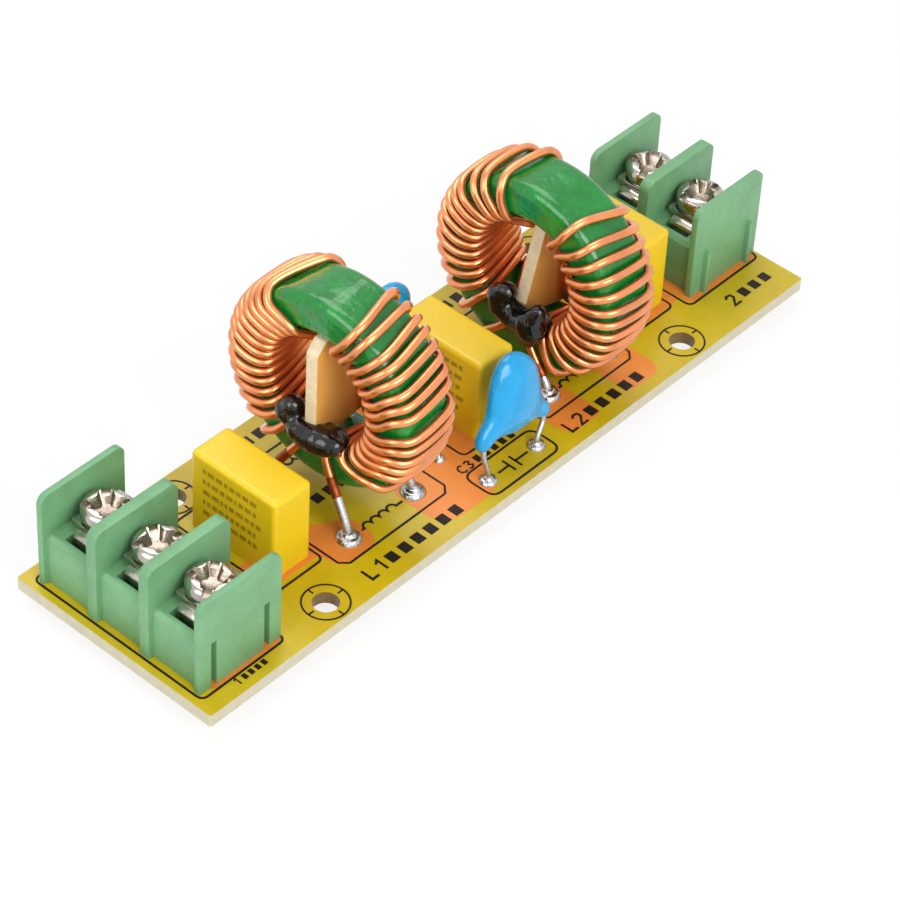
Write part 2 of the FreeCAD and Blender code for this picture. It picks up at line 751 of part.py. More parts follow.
def disc_capacitor(side):
    """Body and leads; side is -1 for the one at the front edge."""
    leads = [disc_lead(number, tip) for number, tip in enumerate(DISC_LEG_TIPS)]
    body = disc_body().cut(leads)
    if side > 0:
        body = body.mirror(V(0, 0, 0), V(0, 1, 0))
        leads = [lead.mirror(V(0, 0, 0), V(0, 1, 0)) for lead in leads]
    return body, leads


def disc_capacitors():
    nodes = {}
    for side, name in ((-1, "disc_capacitor_front"), (1, "disc_capacitor_back")):
        body, leads = disc_capacitor(side)
        nodes[name + "_body"] = [body]
        nodes[name + "_leads"] = leads
    return nodes


def disc_lead_places():
    return [(DISC_X + sx * DISC_PITCH / 2, sy * DISC_Y, DISC_LEAD)
            for sx in (-1, 1) for sy in (-1, 1)]


# Discharge resistor, lying across the board

def resistor_profile():
    """Body with swollen ends: radius and height pairs from end to end."""
    cap, waist, half = RESISTOR_DIAMETER / 2, RESISTOR_WAIST / 2, RESISTOR_LENGTH / 2
    lower = [(0, -half), (cap - RESISTOR_EDGE, -half), (cap, -half + RESISTOR_EDGE),
             (cap, -half + RESISTOR_CAP - RESISTOR_EDGE), (waist, -half + RESISTOR_CAP)]
    return lower + [(r, -z) for r, z in lower[::-1]]


def resistor_lead(side, level):
    """Lead that leaves one end of the body and bends down through the board."""
    y = RESISTOR_Y + side * RESISTOR_PITCH / 2
    held = RESISTOR_Y + side * (RESISTOR_LENGTH / 2 - RESISTOR_LEAD_HELD)
    return wire_along([V(RESISTOR_X, y, -PIN_PROJECTION), V(RESISTOR_X, y, level - RESISTOR_BEND),
                       V(RESISTOR_X, y - side * RESISTOR_BEND, level), V(RESISTOR_X, held, level)],
                      RESISTOR_LEAD)


def resistor():
    """Body across the board and its two bent leads."""
    level = TOP + RESISTOR_LIFT + RESISTOR_DIAMETER / 2
    body = lathe(resistor_profile())
    body.rotate(V(0, 0, 0), V(1, 0, 0), 90)
    body.translate(V(RESISTOR_X, RESISTOR_Y, level))
    leads = [resistor_lead(side, level) for side in (-1, 1)]
    return {"discharge_resistor_body": [body.cut(leads)], "discharge_resistor_leads": leads}


def resistor_lead_places():
    return [(RESISTOR_X, RESISTOR_Y + side * RESISTOR_PITCH / 2, RESISTOR_LEAD) for side in (-1, 1)]


# Solder joints

def winding_pads():
    return [pad_place(data, side, far) for data in (CHOKE_1, CHOKE_2)
            for side in (-1, 1) for far in (False, True)]


def film_lead_places():
    return [(x, y + o, FILM_LEAD) for x, y in FILM_PLACES for o in film_lead_offsets()]


def round_lead_places():
    wires = [(p.x, p.y, WIRE) for p in winding_pads()]
    return film_lead_places() + wires + disc_lead_places() + resistor_lead_places()


def cone_profile(collar, pad, height, level):
    """Radius and height pairs from the rim of a joint to its top, going up from level."""
    waist = pad * CONE_SHARE + collar * CONE_SHARE
    return [(pad / 2, level), (waist, level + height * CONE_LEVEL), (collar, level + height)]


def solder_joint(x, y, drilled, pad, lead_radius, top_height):
    """Cone of solder below the board, the filled hole and a small cone on top."""
    collar = lead_radius + SOLDER_COLLAR
    below = [(r, -z) for r, z in cone_profile(collar, pad, SOLDER_HEIGHT, 0)]
    profile = [(0, -SOLDER_HEIGHT)] + below[::-1] + [(drilled, 0), (drilled, TOP)]
    if top_height > 0:
        profile += cone_profile(collar, pad, top_height, TOP)
    profile += [(0, TOP + top_height)]
    return lathe(profile, x, y)


def lead_stub(x, y, diameter):
    """The part of a straight lead that a joint surrounds, as a tool."""
    return wire_along([V(x, y, -PIN_PROJECTION - 1), V(x, y, TOP + 2)], diameter)


def round_joint(x, y, diameter, pad, top_height):
    joint = solder_joint(x, y, diameter / 2 + HOLE_ROOM, pad, diameter / 2, top_height)
    return joint.cut(lead_stub(x, y, diameter))


def winding_joint(x, y, diameter):
    drilled = diameter / 2 + HOLE_ROOM
    joint = solder_joint(x, y, drilled, WINDING_SOLDER_PAD, diameter / 2, WINDING_SOLDER_TOP)
    return joint.cut(cylinder(x, y, -PIN_PROJECTION - 1, diameter / 2, TOP + 4))


def pin_joint(x, y):
    drilled = math.hypot(PIN_WIDTH, PLATE_THICKNESS) / 2 + HOLE_ROOM / 2
    joint = solder_joint(x, y, drilled, PIN_SOLDER_PAD, drilled - HOLE_ROOM / 2, 0)
    return joint.cut(box(x, y, -PIN_PROJECTION - 1, PLATE_THICKNESS, PIN_WIDTH, TOP + 4))


def solder_nodes():
    small = [round_joint(x, y, d, SMALL_SOLDER_PAD, SMALL_SOLDER_TOP)
             for x, y, d in disc_lead_places()]
    small += [round_joint(x, y, d, RESISTOR_SOLDER_PAD, SMALL_SOLDER_TOP)
              for x, y, d in resistor_lead_places()]
    return {
        "solder_terminal_pins": [pin_joint(x, y) for x, y in terminal_pin_places()],
        "solder_film_capacitors": [round_joint(x, y, d, SOLDER_PAD, 0)
                                   for x, y, d in film_lead_places()],
        "solder_chokes": [winding_joint(p.x, p.y, WIRE) for p in winding_pads()],
        "solder_small_parts": small,
    }


def all_nodes():
    nodes = {"circuit_board": [circuit_board()]}
    nodes.update(terminal_block("input_terminal", INPUT_POLES, INPUT_X, INPUT_Y, 0,
                                INPUT_SCREW_TURNS))
    nodes.update(terminal_block("output_terminal", OUTPUT_POLES, OUTPUT_X, OUTPUT_Y, 180,
                                OUTPUT_SCREW_TURNS))
    nodes.update(film_capacitors())
    nodes.update(choke(CHOKE_1))
    nodes.update(choke(CHOKE_2))
    nodes.update(disc_capacitors())
    nodes.update(resistor())
    nodes.update(solder_nodes())
    return nodes


def main():
    for name, solids in all_nodes().items():
        shape = solids[0] if len(solids) == 1 else Part.makeCompound(solids)
        shape.exportStep("parts/" + name + ".step")
        print(name, len(solids), shape.isValid(), round(shape.Volume, 2))


main()
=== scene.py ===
"""Looks of a mains line filter on its circuit board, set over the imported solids."""
import bmesh
import bpy
import math
import random
from bpy.props import FloatProperty, FloatVectorProperty, IntProperty, PointerProperty
from itertools import product
from mathutils import Matrix, Vector


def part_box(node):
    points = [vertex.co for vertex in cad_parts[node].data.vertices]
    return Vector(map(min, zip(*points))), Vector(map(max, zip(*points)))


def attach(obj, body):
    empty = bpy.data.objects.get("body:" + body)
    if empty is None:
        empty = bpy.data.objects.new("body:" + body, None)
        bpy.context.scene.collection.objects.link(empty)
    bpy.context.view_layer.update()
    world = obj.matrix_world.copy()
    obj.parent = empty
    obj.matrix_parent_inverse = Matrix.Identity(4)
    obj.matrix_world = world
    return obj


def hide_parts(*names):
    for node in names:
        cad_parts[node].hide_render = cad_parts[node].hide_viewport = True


bl_info = {
    "name": "Line filter looks",
    "version": (1, 0, 0),
    "blender": (4, 5, 0),
    "location": "View3D > Sidebar > Line filter",
    "description": "Windings, coatings, solder, copper areas and print of a line filter",
    "category": "Object",
}

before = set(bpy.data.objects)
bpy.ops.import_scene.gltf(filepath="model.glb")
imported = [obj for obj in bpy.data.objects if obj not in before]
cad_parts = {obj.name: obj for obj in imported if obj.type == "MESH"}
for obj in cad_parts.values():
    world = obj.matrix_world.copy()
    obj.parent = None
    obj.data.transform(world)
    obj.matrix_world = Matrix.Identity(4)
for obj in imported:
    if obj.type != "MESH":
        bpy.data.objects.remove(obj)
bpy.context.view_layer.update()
MM = 0.001

# Places and sizes of the model, in millimetres.
TOP = 1.6
BOARD, RIM_BAND = (-49.5, 48.0, -14.3, 14.3), 0.1
HOLE_X, HOLE_Y = 29.45, 11.35
CORE_OUTER, CORE_INNER, CORE_WIDTH, CORE_EDGE = 24.1, 14.7, 7.4, 1.2
OUTER_BEND, OUTER_LIFT = 2.1, 0.17
WIRE_SLACK = 0.15
CORNER_BENDS = 3
# Where a lead passes through the ring, and how far a turn comes in ahead of where it leaves, in degrees
ENTRY_ANGLE, INNER_LEAD = 168.0, -3.0
# Where a winding drops beside the divider: distance along X and level from the ring's middle
DROP_BENDS = ((0.0, CORE_INNER / 2 - 3.0), (2.5, CORE_INNER / 2 - 4.4), (2.5, 2.4 - CORE_INNER / 2))
# Tip, foot and first bend of a lead over its pad
PAD_LEVELS = (-1.3, TOP + 0.2, TOP + 1.0)
DIVIDER_THICKNESS, DIVIDER_BREAK, DIVIDER_GAP = 1.6, 0.12, 0.05
SCREW_HEAD, SCREW_SHANK, HEAD_HEIGHT, HEAD_ROUND = 5.6, 2.9, 1.75, 0.9
HEAD_BREAK, HEAD_CROWN = 0.12, 0.04
SCREW_PLACES = {
    "input_terminal": [(-42.3, -7.27, 34), (-42.3, 0.35, 62), (-42.3, 7.97, 48)],
    "output_terminal": [(41.85, 4.66, 20), (41.85, -2.96, 70)],
}
# Where the arms of a screw's cross meet, as shares of their width, and how they widen upwards
CROSS_WAIST, CROSS_HIP, CROSS_FLARE, SCREW_BREAK = 0.78, 0.625, 1.3, 0.07
# Width, length, depth and taper of a screw's wide cross and of the narrow one that reaches its rim
RECESSES = [(1.6, 4.3, 1.3, 0.5), (0.8, 7.0, 0.6, 0.99)]
FILM_PLACES = [(-28.15, 0.95), (3.1, 0.3), (30.6, 0.85)]
FILM_THICKNESS = 5.6
CASE_ROWS, CASE_TOP, CASE_PITCH, CASE_BAR_HEIGHT = 5, 8.6, 1.45, 0.62
CASE_START, CASE_END, CASE_BAR, CASE_GAP = 4.3, -3.6, (0.35, 1.1), 0.25
CASE_DEPTHS = (-0.012, 0.05)
DISC_CENTRE = Vector((1.6, -9.39, 11.3))
DISC_LEAN = 10.0
# Half the coat's thickness at most, its rim's radius, and half the thickness it swells to from there
DISC_HALF, DISC_RIM, RIM_HALF, SWELL = 1.75, 0.7, 0.55, 0.33
DISC_CELL, DISC_BEND, DISC_PASSES = 0.42, 9.0, 24
BACK_DISC_DROP = 0.8
DISC_PADS = [(-3.55, -11.1), (4.45, -11.1)]
DISC_TIPS = [(-5.8, -5.5), (4.9, -6.5)]
DISC_OUTLINE = [
    (-0.1, 4.15), (-1.5, 3.75), (-2.6, 2.7), (-3.5, 1.0), (-3.95, -0.9), (-4.5, -2.3), (-5.6, -3.0),
    (-6.5, -4.1), (-6.45, -5.3), (-5.7, -5.9), (-4.8, -5.8), (-3.9, -5.2), (-2.6, -5.4), (-0.6, -6.05),
    (1.2, -6.05), (2.9, -6.1), (4.0, -6.8), (5.0, -6.9), (5.6, -6.2), (5.2, -5.1), (4.3, -4.0),
    (4.1, -2.3), (4.15, -0.7), (3.8, 0.9), (2.8, 2.5), (1.4, 3.7),
]
LEAD_RADIUS, LEAD_LEVELS, LEAD_DEPTH = 0.325, (-1.8, TOP, TOP + 1.2), 0.28
RESISTOR_X, RESISTOR_Y, RESISTOR_PITCH, RESISTOR_LIFT = -4.7, 0.15, 10.1, 1.7
# Offset, width and radius of each band
RESISTOR_BANDS = ((-2.2, 0.5, 1.22), (-0.9, 0.4, 1.02), (0.0, 0.4, 1.02), (0.9, 0.4, 1.02),
                  (2.2, 0.5, 1.22))
# Wire radius and height of a solder joint's cone
CHOKE_DOME, SMALL_DOME, RESISTOR_DOME = (0.5, 0.95), (0.33, 0.7), (0.28, 0.5)
RESISTOR_JOINT, DOME_SINK = 0.8, 0.02

# How far flat areas reach into the board, the bends of the copper, and the printed signs
SINK, COPPER_BEND = 0.01, 1.0
COIL_SIGN_X, COIL_SIGN_Y, COIL_BOW, COIL_TAIL = (-18.9, 13.4), 6.65, 0.62, 0.45
CAPACITOR_SIGN_X, CAPACITOR_SIGN_Y = (-0.08, 0.95), 11.1
TARGET_RADIUS, TARGET_LINE, TARGET_TICK = 2.62, 0.2, (1.85, 2.6)

CHOKES = [{
    "name": "choke_1", "centre": Vector((-15.7, 0.0, 17.6)), "yaw": 2.0, "tinned": 0.46,
    "front_near": [24, 31, 41.5, 48, 54.5, 62.5, 69, 76, 88.5, 95.5, 103.5, 110.5, 118, 132],
    "front_far": [18.5, 28, 36, 43, 51, 58, 65, 72, 85, 92.5, 101, 109, 117, 131],
    "front_inner": [18, 28, 39, 48.5, 58, 67.5, 77, 86.5, 95.5, 105, 114, 123.5, 134, 148.5],
    "back_near": [36, 43, 49.5, 56, 62.5, 69.5, 77, 86, 96, 103, 112, 120, 129, 143],
    "back_far": [22, 30, 37, 44, 51, 58, 66, 74, 83, 92, 102, 112, 123, 138],
    "back_inner": [24, 33.5, 43, 52.5, 62, 71.5, 81, 90.5, 100, 109.5, 119, 128.5, 138, 149],
    "blobs": [
        (-4.3, 2.8, -3.0, 1.1), (-4.3, 3.4, -4.1, 1.4), (-4.3, 2.6, -4.6, 1.3), (-4.5, 2.0, -5.0, 1.2),
        (-4.9, 1.3, -5.2, 1.3), (-4.9, 0.6, -5.3, 1.4), (-4.9, -0.2, -5.3, 1.5), (-4.9, -1.2, -5.1, 1.6),
        (-4.9, -2.0, -5.0, 1.5), (-4.9, -2.7, -4.85, 1.35), (-4.8, -3.5, -4.7, 1.0), (-3.2, 2.6, -5.2, 1.6),
        (-3.4, -0.5, -6.0, 1.7), (-3.4, -2.4, -5.6, 1.5)],
}, {
    "name": "choke_2", "centre": Vector((16.8, -0.5, 14.5)), "yaw": 1.0, "tinned": 0.2,
    "front_near": [31.5, 44.5, 54, 64, 73.5, 82.5, 90.5, 99, 107, 115.5, 125, 137, 151],
    "front_far": [39, 49.5, 58, 66, 75, 86, 93.5, 101, 108.5, 116, 124, 135, 149],
    "front_inner": [29, 40, 52, 63, 73.5, 83, 92.5, 102, 111.5, 121, 130.5, 140, 150],
    "back_near": [17.5, 30.5, 39, 51, 58.5, 66, 74.5, 83.5, 93, 102.5, 112, 122, 137],
    "back_far": [13, 28, 38, 48, 57, 65, 73, 82, 91, 101, 111, 121, 134],
    "back_inner": [18, 28, 38, 48, 58, 68, 78, 88, 98, 107.5, 117, 126.5, 137],
    "blobs": [
        (-4.5, 1.5, -2.6, 1.1), (-4.5, 2.3, -3.6, 1.4), (-4.5, 2.0, -4.8, 1.4), (-4.5, 1.0, -5.3, 1.3),
        (-4.6, 0.2, -5.5, 1.25), (-4.7, -0.6, -5.5, 1.3), (-4.8, -1.5, -5.2, 1.4), (-4.9, -2.4, -4.8, 1.6),
        (-4.9, -2.7, -5.3, 1.65), (-4.9, -2.5, -6.2, 1.4), (-4.7, -2.9, -3.6, 1.1), (-4.6, -3.2, -2.8, 0.8),
        (-3.2, 1.8, -5.2, 1.6), (-3.3, -0.8, -6.3, 1.6), (-3.4, -2.4, -5.8, 1.6)],
}]
# Where the windings' ends stand, from the choke's middle along X and from the board's along Y
PAD_REACH_X, PAD_REACH_Y = 5.08, 6.5
GLUE_SWELL, GLUE_CELL, GLUE_PASSES, SMOOTHING = 0.15, 0.2, 9, 0.6
# How far a turn hangs on its way across the ring's face, in degrees, and stands off it
SAG, SAG_DRIFT, FACE_LIFT = 1.2, 0.5, 0.1
# The scraped stretch as a share of the lead, and the skins over tinned and bared wire
BARE_RUN, TIN_COAT, BARE_COAT = 0.28, 0.04, 0.03
WIRE_ORDER = 4
SHARP_ANGLE = math.radians(35.0)
MASK_GLOSS = {"Coat_Weight": 0.1, "Coat_Roughness": 0.12}

# The stage: floor in millimetres, lights and camera in metres
FLOOR_REACH, FLOOR_LEVEL, FLOOR_GLOW = 3000.0, -1.82, 0.84
WHITE = (1.0, 1.0, 1.0)
LIGHTS = [("key_light", (-0.14, -0.50, 0.38), 0.42), ("fill_light", (-0.50, 0.05, 0.32), 0.36),
          ("top_light", (0.12, 0.22, 0.55), 0.40)]
LIGHT_AIM = (0, 0, 0.008)
CAMERA_PLACE = (-0.22934, -0.19298, 0.27184)
# The camera's right, down and forward directions
CAMERA_WAYS = ((0.66860804, -0.74232929, 0.04370953), (-0.48133918, -0.47684336, -0.73548148),
               (0.56681204, 0.47070971, -0.67613348))


def linear(value):
    """A share of light from a screen value of 0 to 255."""
    share = value / 255
    return share / 12.92 if share <= 0.04045 else ((share + 0.055) / 1.055) ** 2.4


def colour_prop(name, place, *screen):
    return FloatVectorProperty(name=name, description="Colour of " + place, subtype="COLOR", size=3,
                               default=[linear(value) for value in screen], min=0.0, max=1.0)


def length_prop(name, description, millimetres):
    return FloatProperty(name=name, description=description, default=millimetres * MM,
                         min=0.0, unit="LENGTH", precision=5)


# Shader nodes and shared effects

def feed(tree, socket, source):
    """Sets the socket's value, or links it to another socket."""
    if isinstance(source, bpy.types.NodeSocket):
        tree.links.new(source, socket)
    elif hasattr(source, "__len__"):
        socket.default_value = (*source, 1.0)[:len(socket.default_value)]
    else:
        socket.default_value = source


def add_node(tree, kind, inputs=None, **values):
    """A node with its own settings, then its inputs by name or number."""
    node = tree.nodes.new("ShaderNode" + kind)
    for label, value in values.items():
        setattr(node, label, value)
    for socket, source in (inputs or {}).items():
        feed(tree, node.inputs[socket], source)
    return node


def calculated(tree, operation, *values):
    """The result of one sum on values or sockets."""
    return add_node(tree, "Math", dict(enumerate(values)), operation=operation).outputs[0]


def noise_of(tree, size, detail, stretch=None):
    """A noise whose patches are as large, in millimetres, as the socket says."""
    place = add_node(tree, "TexCoord").outputs["Object"]
    if stretch:
        place = add_node(tree, "Mapping", {"Vector": place, "Scale": stretch}).outputs[0]
    scale = calculated(tree, "DIVIDE", 1.0 / MM, size)
    return add_node(tree, "TexNoise",
                    {"Vector": place, "Scale": scale, "Detail": detail}).outputs["Fac"]


def spread(tree, value, low, high, out_low, out_high):
    """A value from one range stretched over another."""
    return add_node(tree, "MapRange",
                    {"Value": value, "From Min": low, "From Max": high,
                     "To Min": out_low, "To Max": out_high}).outputs["Result"]


def mixed(tree, share, first, second):
    """Two colours mixed by a share."""
    return add_node(tree, "Mix", {0: share, 6: first, 7: second}, data_type="RGBA").outputs[2]


def colour_drift(group, given):
    """Slow and fine changes of colour, as a moulding or a coat has."""
    slow = spread(group, noise_of(group, given["Size"], 2.0), 0.35, 0.65, 0.0, 0.6)
    fine = spread(group, noise_of(group, given["Speck Size"], 4.0), 0.4, 0.7, 0.0, 0.4)
    return {"Colour": mixed(group, calculated(group, "ADD", slow, fine), given["Colour"], given["Other"])}


def surface_grain(group, given):
    """Height and roughness of a fine uneven skin."""
    grain = noise_of(group, given["Size"], 3.0)
    rough = spread(group, grain, 0.35, 0.65, given["Rough Low"], given["Rough High"])
    return {"Height": grain, "Roughness": rough}


def tool_marks(group, given):
    """Fine drawn lines of rolled or turned metal."""
    lines = noise_of(group, given["Size"], 3.0, (1.0, 0.12, 0.5))
    rough = spread(group, lines, 0.3, 0.7, given["Rough Low"], given["Rough High"])
    return {"Height": lines, "Roughness": rough}


EFFECT_INPUTS = {colour_drift: ("Colour", "Other", "Size", "Speck Size"),
                 surface_grain: ("Size", "Rough Low", "Rough High"),
                 tool_marks: ("Size", "Rough Low", "Rough High")}


def shared(effect):
    """A shared effect's node group, built the first time that it is asked for."""
    found = bpy.data.node_groups.get(effect.__name__)
    if found:
        return found
    group = bpy.data.node_groups.new(effect.__name__, "ShaderNodeTree")
    for label in EFFECT_INPUTS[effect]:
        kind = "NodeSocketColor" if label in ("Colour", "Other") else "NodeSocketFloat"
        group.interface.new_socket(label, in_out="INPUT", socket_type=kind)
    made = effect(group, group.nodes.new("NodeGroupInput").outputs)
    for label in made:
        kind = "NodeSocketColor" if label == "Colour" else "NodeSocketFloat"
        group.interface.new_socket(label, in_out="OUTPUT", socket_type=kind)
    end = group.nodes.new("NodeGroupOutput")
    for label, socket in made.items():
        group.links.new(socket, end.inputs[label])
    return group


# Finishes

class Finish:
    """A material under construction."""

    def __init__(self, name):
        self.material = bpy.data.materials.new(name)
        self.material.use_nodes = True
        self.tree = self.material.node_tree
        self.shader = self.tree.nodes["Principled BSDF"]

    def effect(self, effect, *values):
        """A shared effect, with values in the order of its inputs."""
        return add_node(self.tree, "Group", dict(enumerate(values)),
                        node_tree=shared(effect)).outputs

    def drift(self, colour, first, second, patch, speck):
        """A colour that wanders between two shades of it, in patches and specks of these sizes."""
        light, dark = (tuple(min(1.0, c * factor) for c in colour) for factor in (first, second))
        return self.effect(colour_drift, light, dark, patch, speck)["Colour"]

    def skin(self, effect, size, low, high, depth):
        """Roughness between two values, and bumps of a size and depth in millimetres."""
        grain = self.effect(effect, size, low, high)
        bump = add_node(self.tree, "Bump",
                        {"Strength": 1.0, "Distance": depth * MM, "Height": grain["Height"]})
        self.set(Roughness=grain["Roughness"], Normal=bump.outputs["Normal"])

    def set(self, **values):
        for label, value in values.items():
            feed(self.tree, self.shader.inputs[label.replace("_", " ")], value)

    def split(self, kind, output):
        """The X, Y and Z of what one node puts out."""
        source = add_node(self.tree, kind).outputs[output]
        return add_node(self.tree, "SeparateXYZ", {0: source}).outputs


def finish_once(name, build):
    """The named material, built the first time that it is asked for."""
    found = bpy.data.materials.get(name)
    if found:
        return found
    finish = Finish(name)
    build(finish)
    return finish.material


def plain_finish(name, colour, drift, skin, effect=surface_grain, **values):
    """A finish of one colour and one skin."""
    def build(finish):
        finish.set(Base_Color=finish.drift(colour, *drift), **values)
        finish.skin(effect, *skin)
    return finish_once(name, build)


def facing(finish, axis):
    """How squarely the surface faces along one axis, either way."""
    return calculated(finish.tree, "ABSOLUTE", finish.split("NewGeometry", "True Normal")[axis])


def near_rim(finish):
    """One close to the board's outer edges, nothing inside its holes, whose walls take the painted shade.
    """
    place = finish.split("TexCoord", "Object")
    shares = []
    for axis, low, high in (("X", *BOARD[:2]), ("Y", *BOARD[2:])):
        offset = calculated(finish.tree, "SUBTRACT", place[axis], (low + high) / 2 * MM)
        distance = calculated(finish.tree, "ABSOLUTE", offset)
        reach = ((high - low) / 2 - RIM_BAND) * MM
        shares.append(calculated(finish.tree, "GREATER_THAN", distance, reach))
    return calculated(finish.tree, "MAXIMUM", *shares)


def board_finish(settings):
    def build(finish):
        mask = finish.drift(settings.mask_colour, 1.0, 0.84, 16.0, 1.2)
        edge = finish.drift(settings.edge_colour, 1.0, 0.88, 1.2, 0.2)
        # The hole walls are the same laminate as the cut edge, coloured darker: painted shade inside the
        # holes.
        hole = finish.drift(settings.hole_shade_colour, 1.0, 0.6, 1.0, 0.25)
        walls = mixed(finish.tree, near_rim(finish), hole, edge)
        finish.set(Base_Color=mixed(finish.tree, facing(finish, "Z"), walls, mask), **MASK_GLOSS)
        finish.skin(surface_grain, 2.2, 0.28, 0.40, 0.010)
    return finish_once("solder_mask", build)


def copper_area_finish(settings):
    return plain_finish("masked_copper", settings.copper_colour, (1.0, 0.86, 10.0, 0.8),
                        (1.4, 0.30, 0.42, 0.010), **MASK_GLOSS)


def ink_finish(settings):
    return plain_finish("printed_ink", settings.ink_colour, (1.0, 2.5, 1.5, 0.2),
                        (0.25, 0.45, 0.65, 0.006), Specular_IOR_Level=0.25)


def housing_finish(settings):
    return plain_finish("green_moulding", settings.housing_colour, (1.08, 0.78, 5.0, 0.22),
                        (0.22, 0.32, 0.50, 0.022), Subsurface_Weight=0.06, Subsurface_Scale=0.001)


# Nickel plating whose colour wanders into darker patches: painted reflections, standing in for the dark
# surroundings that plated metal mirrors.
def plated_finish_painted_reflections(settings):
    return plain_finish("nickel_plate_painted_reflections", settings.metal_colour, (1.0, 0.62, 1.8, 0.5),
                        (0.5, 0.12, 0.24, 0.012), tool_marks, Metallic=1.0)


# A darker copy of the plating for the faces inside the screws' crosses: painted shade and painted
# reflection in the recesses.
def recess_shade_finish(settings):
    return plain_finish("recess_painted_shade", settings.recess_shade_colour, (1.0, 0.45, 1.0, 0.3),
                        (0.3, 0.17, 0.30, 0.01), Metallic=0.9)


def film_finish(settings):
    return plain_finish("yellow_moulding", settings.film_colour, (1.0, 0.93, 5.0, 0.5),
                        (0.35, 0.30, 0.40, 0.010), Subsurface_Weight=0.12, Subsurface_Scale=0.0015,
                        Coat_Weight=0.15, Coat_Roughness=0.3)


def film_ink_finish(settings):
    return plain_finish("case_print", settings.film_print_colour, (1.0, 1.5, 1.0, 0.15),
                        (0.2, 0.4, 0.55, 0.004))


def resin_finish(settings):
    return plain_finish("casting_resin", settings.film_colour, (0.8, 0.65, 3.0, 0.4),
                        (1.2, 0.15, 0.30, 0.03))


def core_finish(settings):
    return plain_finish("core_coating", settings.core_colour, (1.0, 0.62, 2.4, 0.5),
                        (2.6, 0.16, 0.24, 0.38), Specular_IOR_Level=0.35, Coat_Weight=0.5,
                        Coat_Roughness=0.04)


def wire_finish(settings):
    return plain_finish("enamelled_copper", settings.wire_colour, (1.0, 0.74, 4.0, 1.6),
                        (3.0, 0.27, 0.34, 0.003), Metallic=0.92, Coat_Weight=0.8, Coat_Roughness=0.2)


def bared_finish(settings):
    return plain_finish("bared_copper", settings.bared_colour, (1.0, 0.5, 0.8, 0.25),
                        (0.4, 0.35, 0.6, 0.03), Metallic=0.9)


def divider_finish(settings):
    def build(finish):
        sheet = finish.drift(settings.divider_colour, 1.0, 0.86, 2.5, 0.18)
        edge = finish.drift(settings.divider_edge_colour, 1.0, 0.80, 0.9, 0.14)
        finish.set(Base_Color=mixed(finish.tree, facing(finish, "Y"), edge, sheet))
        finish.skin(surface_grain, 0.16, 0.55, 0.75, 0.015)
    return finish_once("fibre_sheet", build)


def glue_finish(settings):
    return plain_finish("black_glue", settings.glue_colour, (1.0, 1.8, 1.5, 0.3),
                        (1.5, 0.05, 0.10, 0.24), Specular_IOR_Level=0.45, Coat_Weight=0.2,
                        Coat_Roughness=0.03)


def disc_finish(settings):
    return plain_finish("blue_dip_coat", settings.disc_colour, (1.0, 0.80, 3.5, 0.8),
                        (2.6, 0.22, 0.34, 0.26), Specular_IOR_Level=0.3, Coat_Weight=0.5,
                        Coat_Roughness=0.08)


def tin_finish(settings):
    return plain_finish("tinned_wire", settings.tin_colour, (1.0, 0.72, 1.0, 0.25),
                        (0.5, 0.22, 0.42, 0.03), Metallic=1.0)


def solder_finish(settings):
    return plain_finish("solder_metal", settings.solder_colour, (1.0, 0.62, 0.9, 0.3),
                        (0.7, 0.12, 0.34, 0.10), Metallic=1.0)


def lacquer_finish(settings):
    return plain_finish("resistor_lacquer", settings.lacquer_colour, (1.0, 0.85, 2.0, 0.3),
                        (0.5, 0.2, 0.35, 0.02))


def band_finish(settings):
    return plain_finish("resistor_band", settings.band_colour, (1.0, 0.7, 1.0, 0.2),
                        (0.4, 0.25, 0.4, 0.02))


# Pieces

def linked(name, data):
    """An object of the data, in the scene."""
    holder = bpy.data.objects.new(name, data)
    bpy.context.scene.collection.objects.link(holder)
    return holder


def taken_from(holder):
    """The mesh that an object shows, with its modifiers worked in; the object is dropped."""
    graph = bpy.context.evaluated_depsgraph_get()
    mesh = bpy.data.meshes.new_from_object(holder.evaluated_get(graph))
    bpy.data.objects.remove(holder)
    mesh.shade_smooth()
    return mesh


def dress(mesh, material):
    """The mesh's first finish, in place of any that it has."""
    if mesh.materials:
        mesh.materials.clear()
    mesh.materials.append(material)


def dress_node(name, material):
    """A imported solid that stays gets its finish."""
    dress(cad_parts[name].data, material)


def add_piece(name, mesh, material, replaced=()):
    """The mesh as a piece of the object, with its finish."""
    piece = linked(name, mesh)
    dress(mesh, material)
    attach(piece, "root")
    if replaced:
        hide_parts(*replaced)
    return piece


def mesh_of(bm, name):
    """The mesh that was built, as it is."""
    mesh = bpy.data.meshes.new(name)
    bm.to_mesh(mesh)
    bm.free()
    return mesh


def mesh_from(bm, name):
    """A mesh from points in millimetres."""
    bmesh.ops.scale(bm, vec=(MM, MM, MM), verts=bm.verts)
    bmesh.ops.recalc_face_normals(bm, faces=bm.faces)
    return mesh_of(bm, name)


def joined(name, meshes):
    """Several meshes as one."""
    bm = bmesh.new()
    for mesh in meshes:
        bm.from_mesh(mesh)
        bpy.data.meshes.remove(mesh)
    return mesh_of(bm, name)


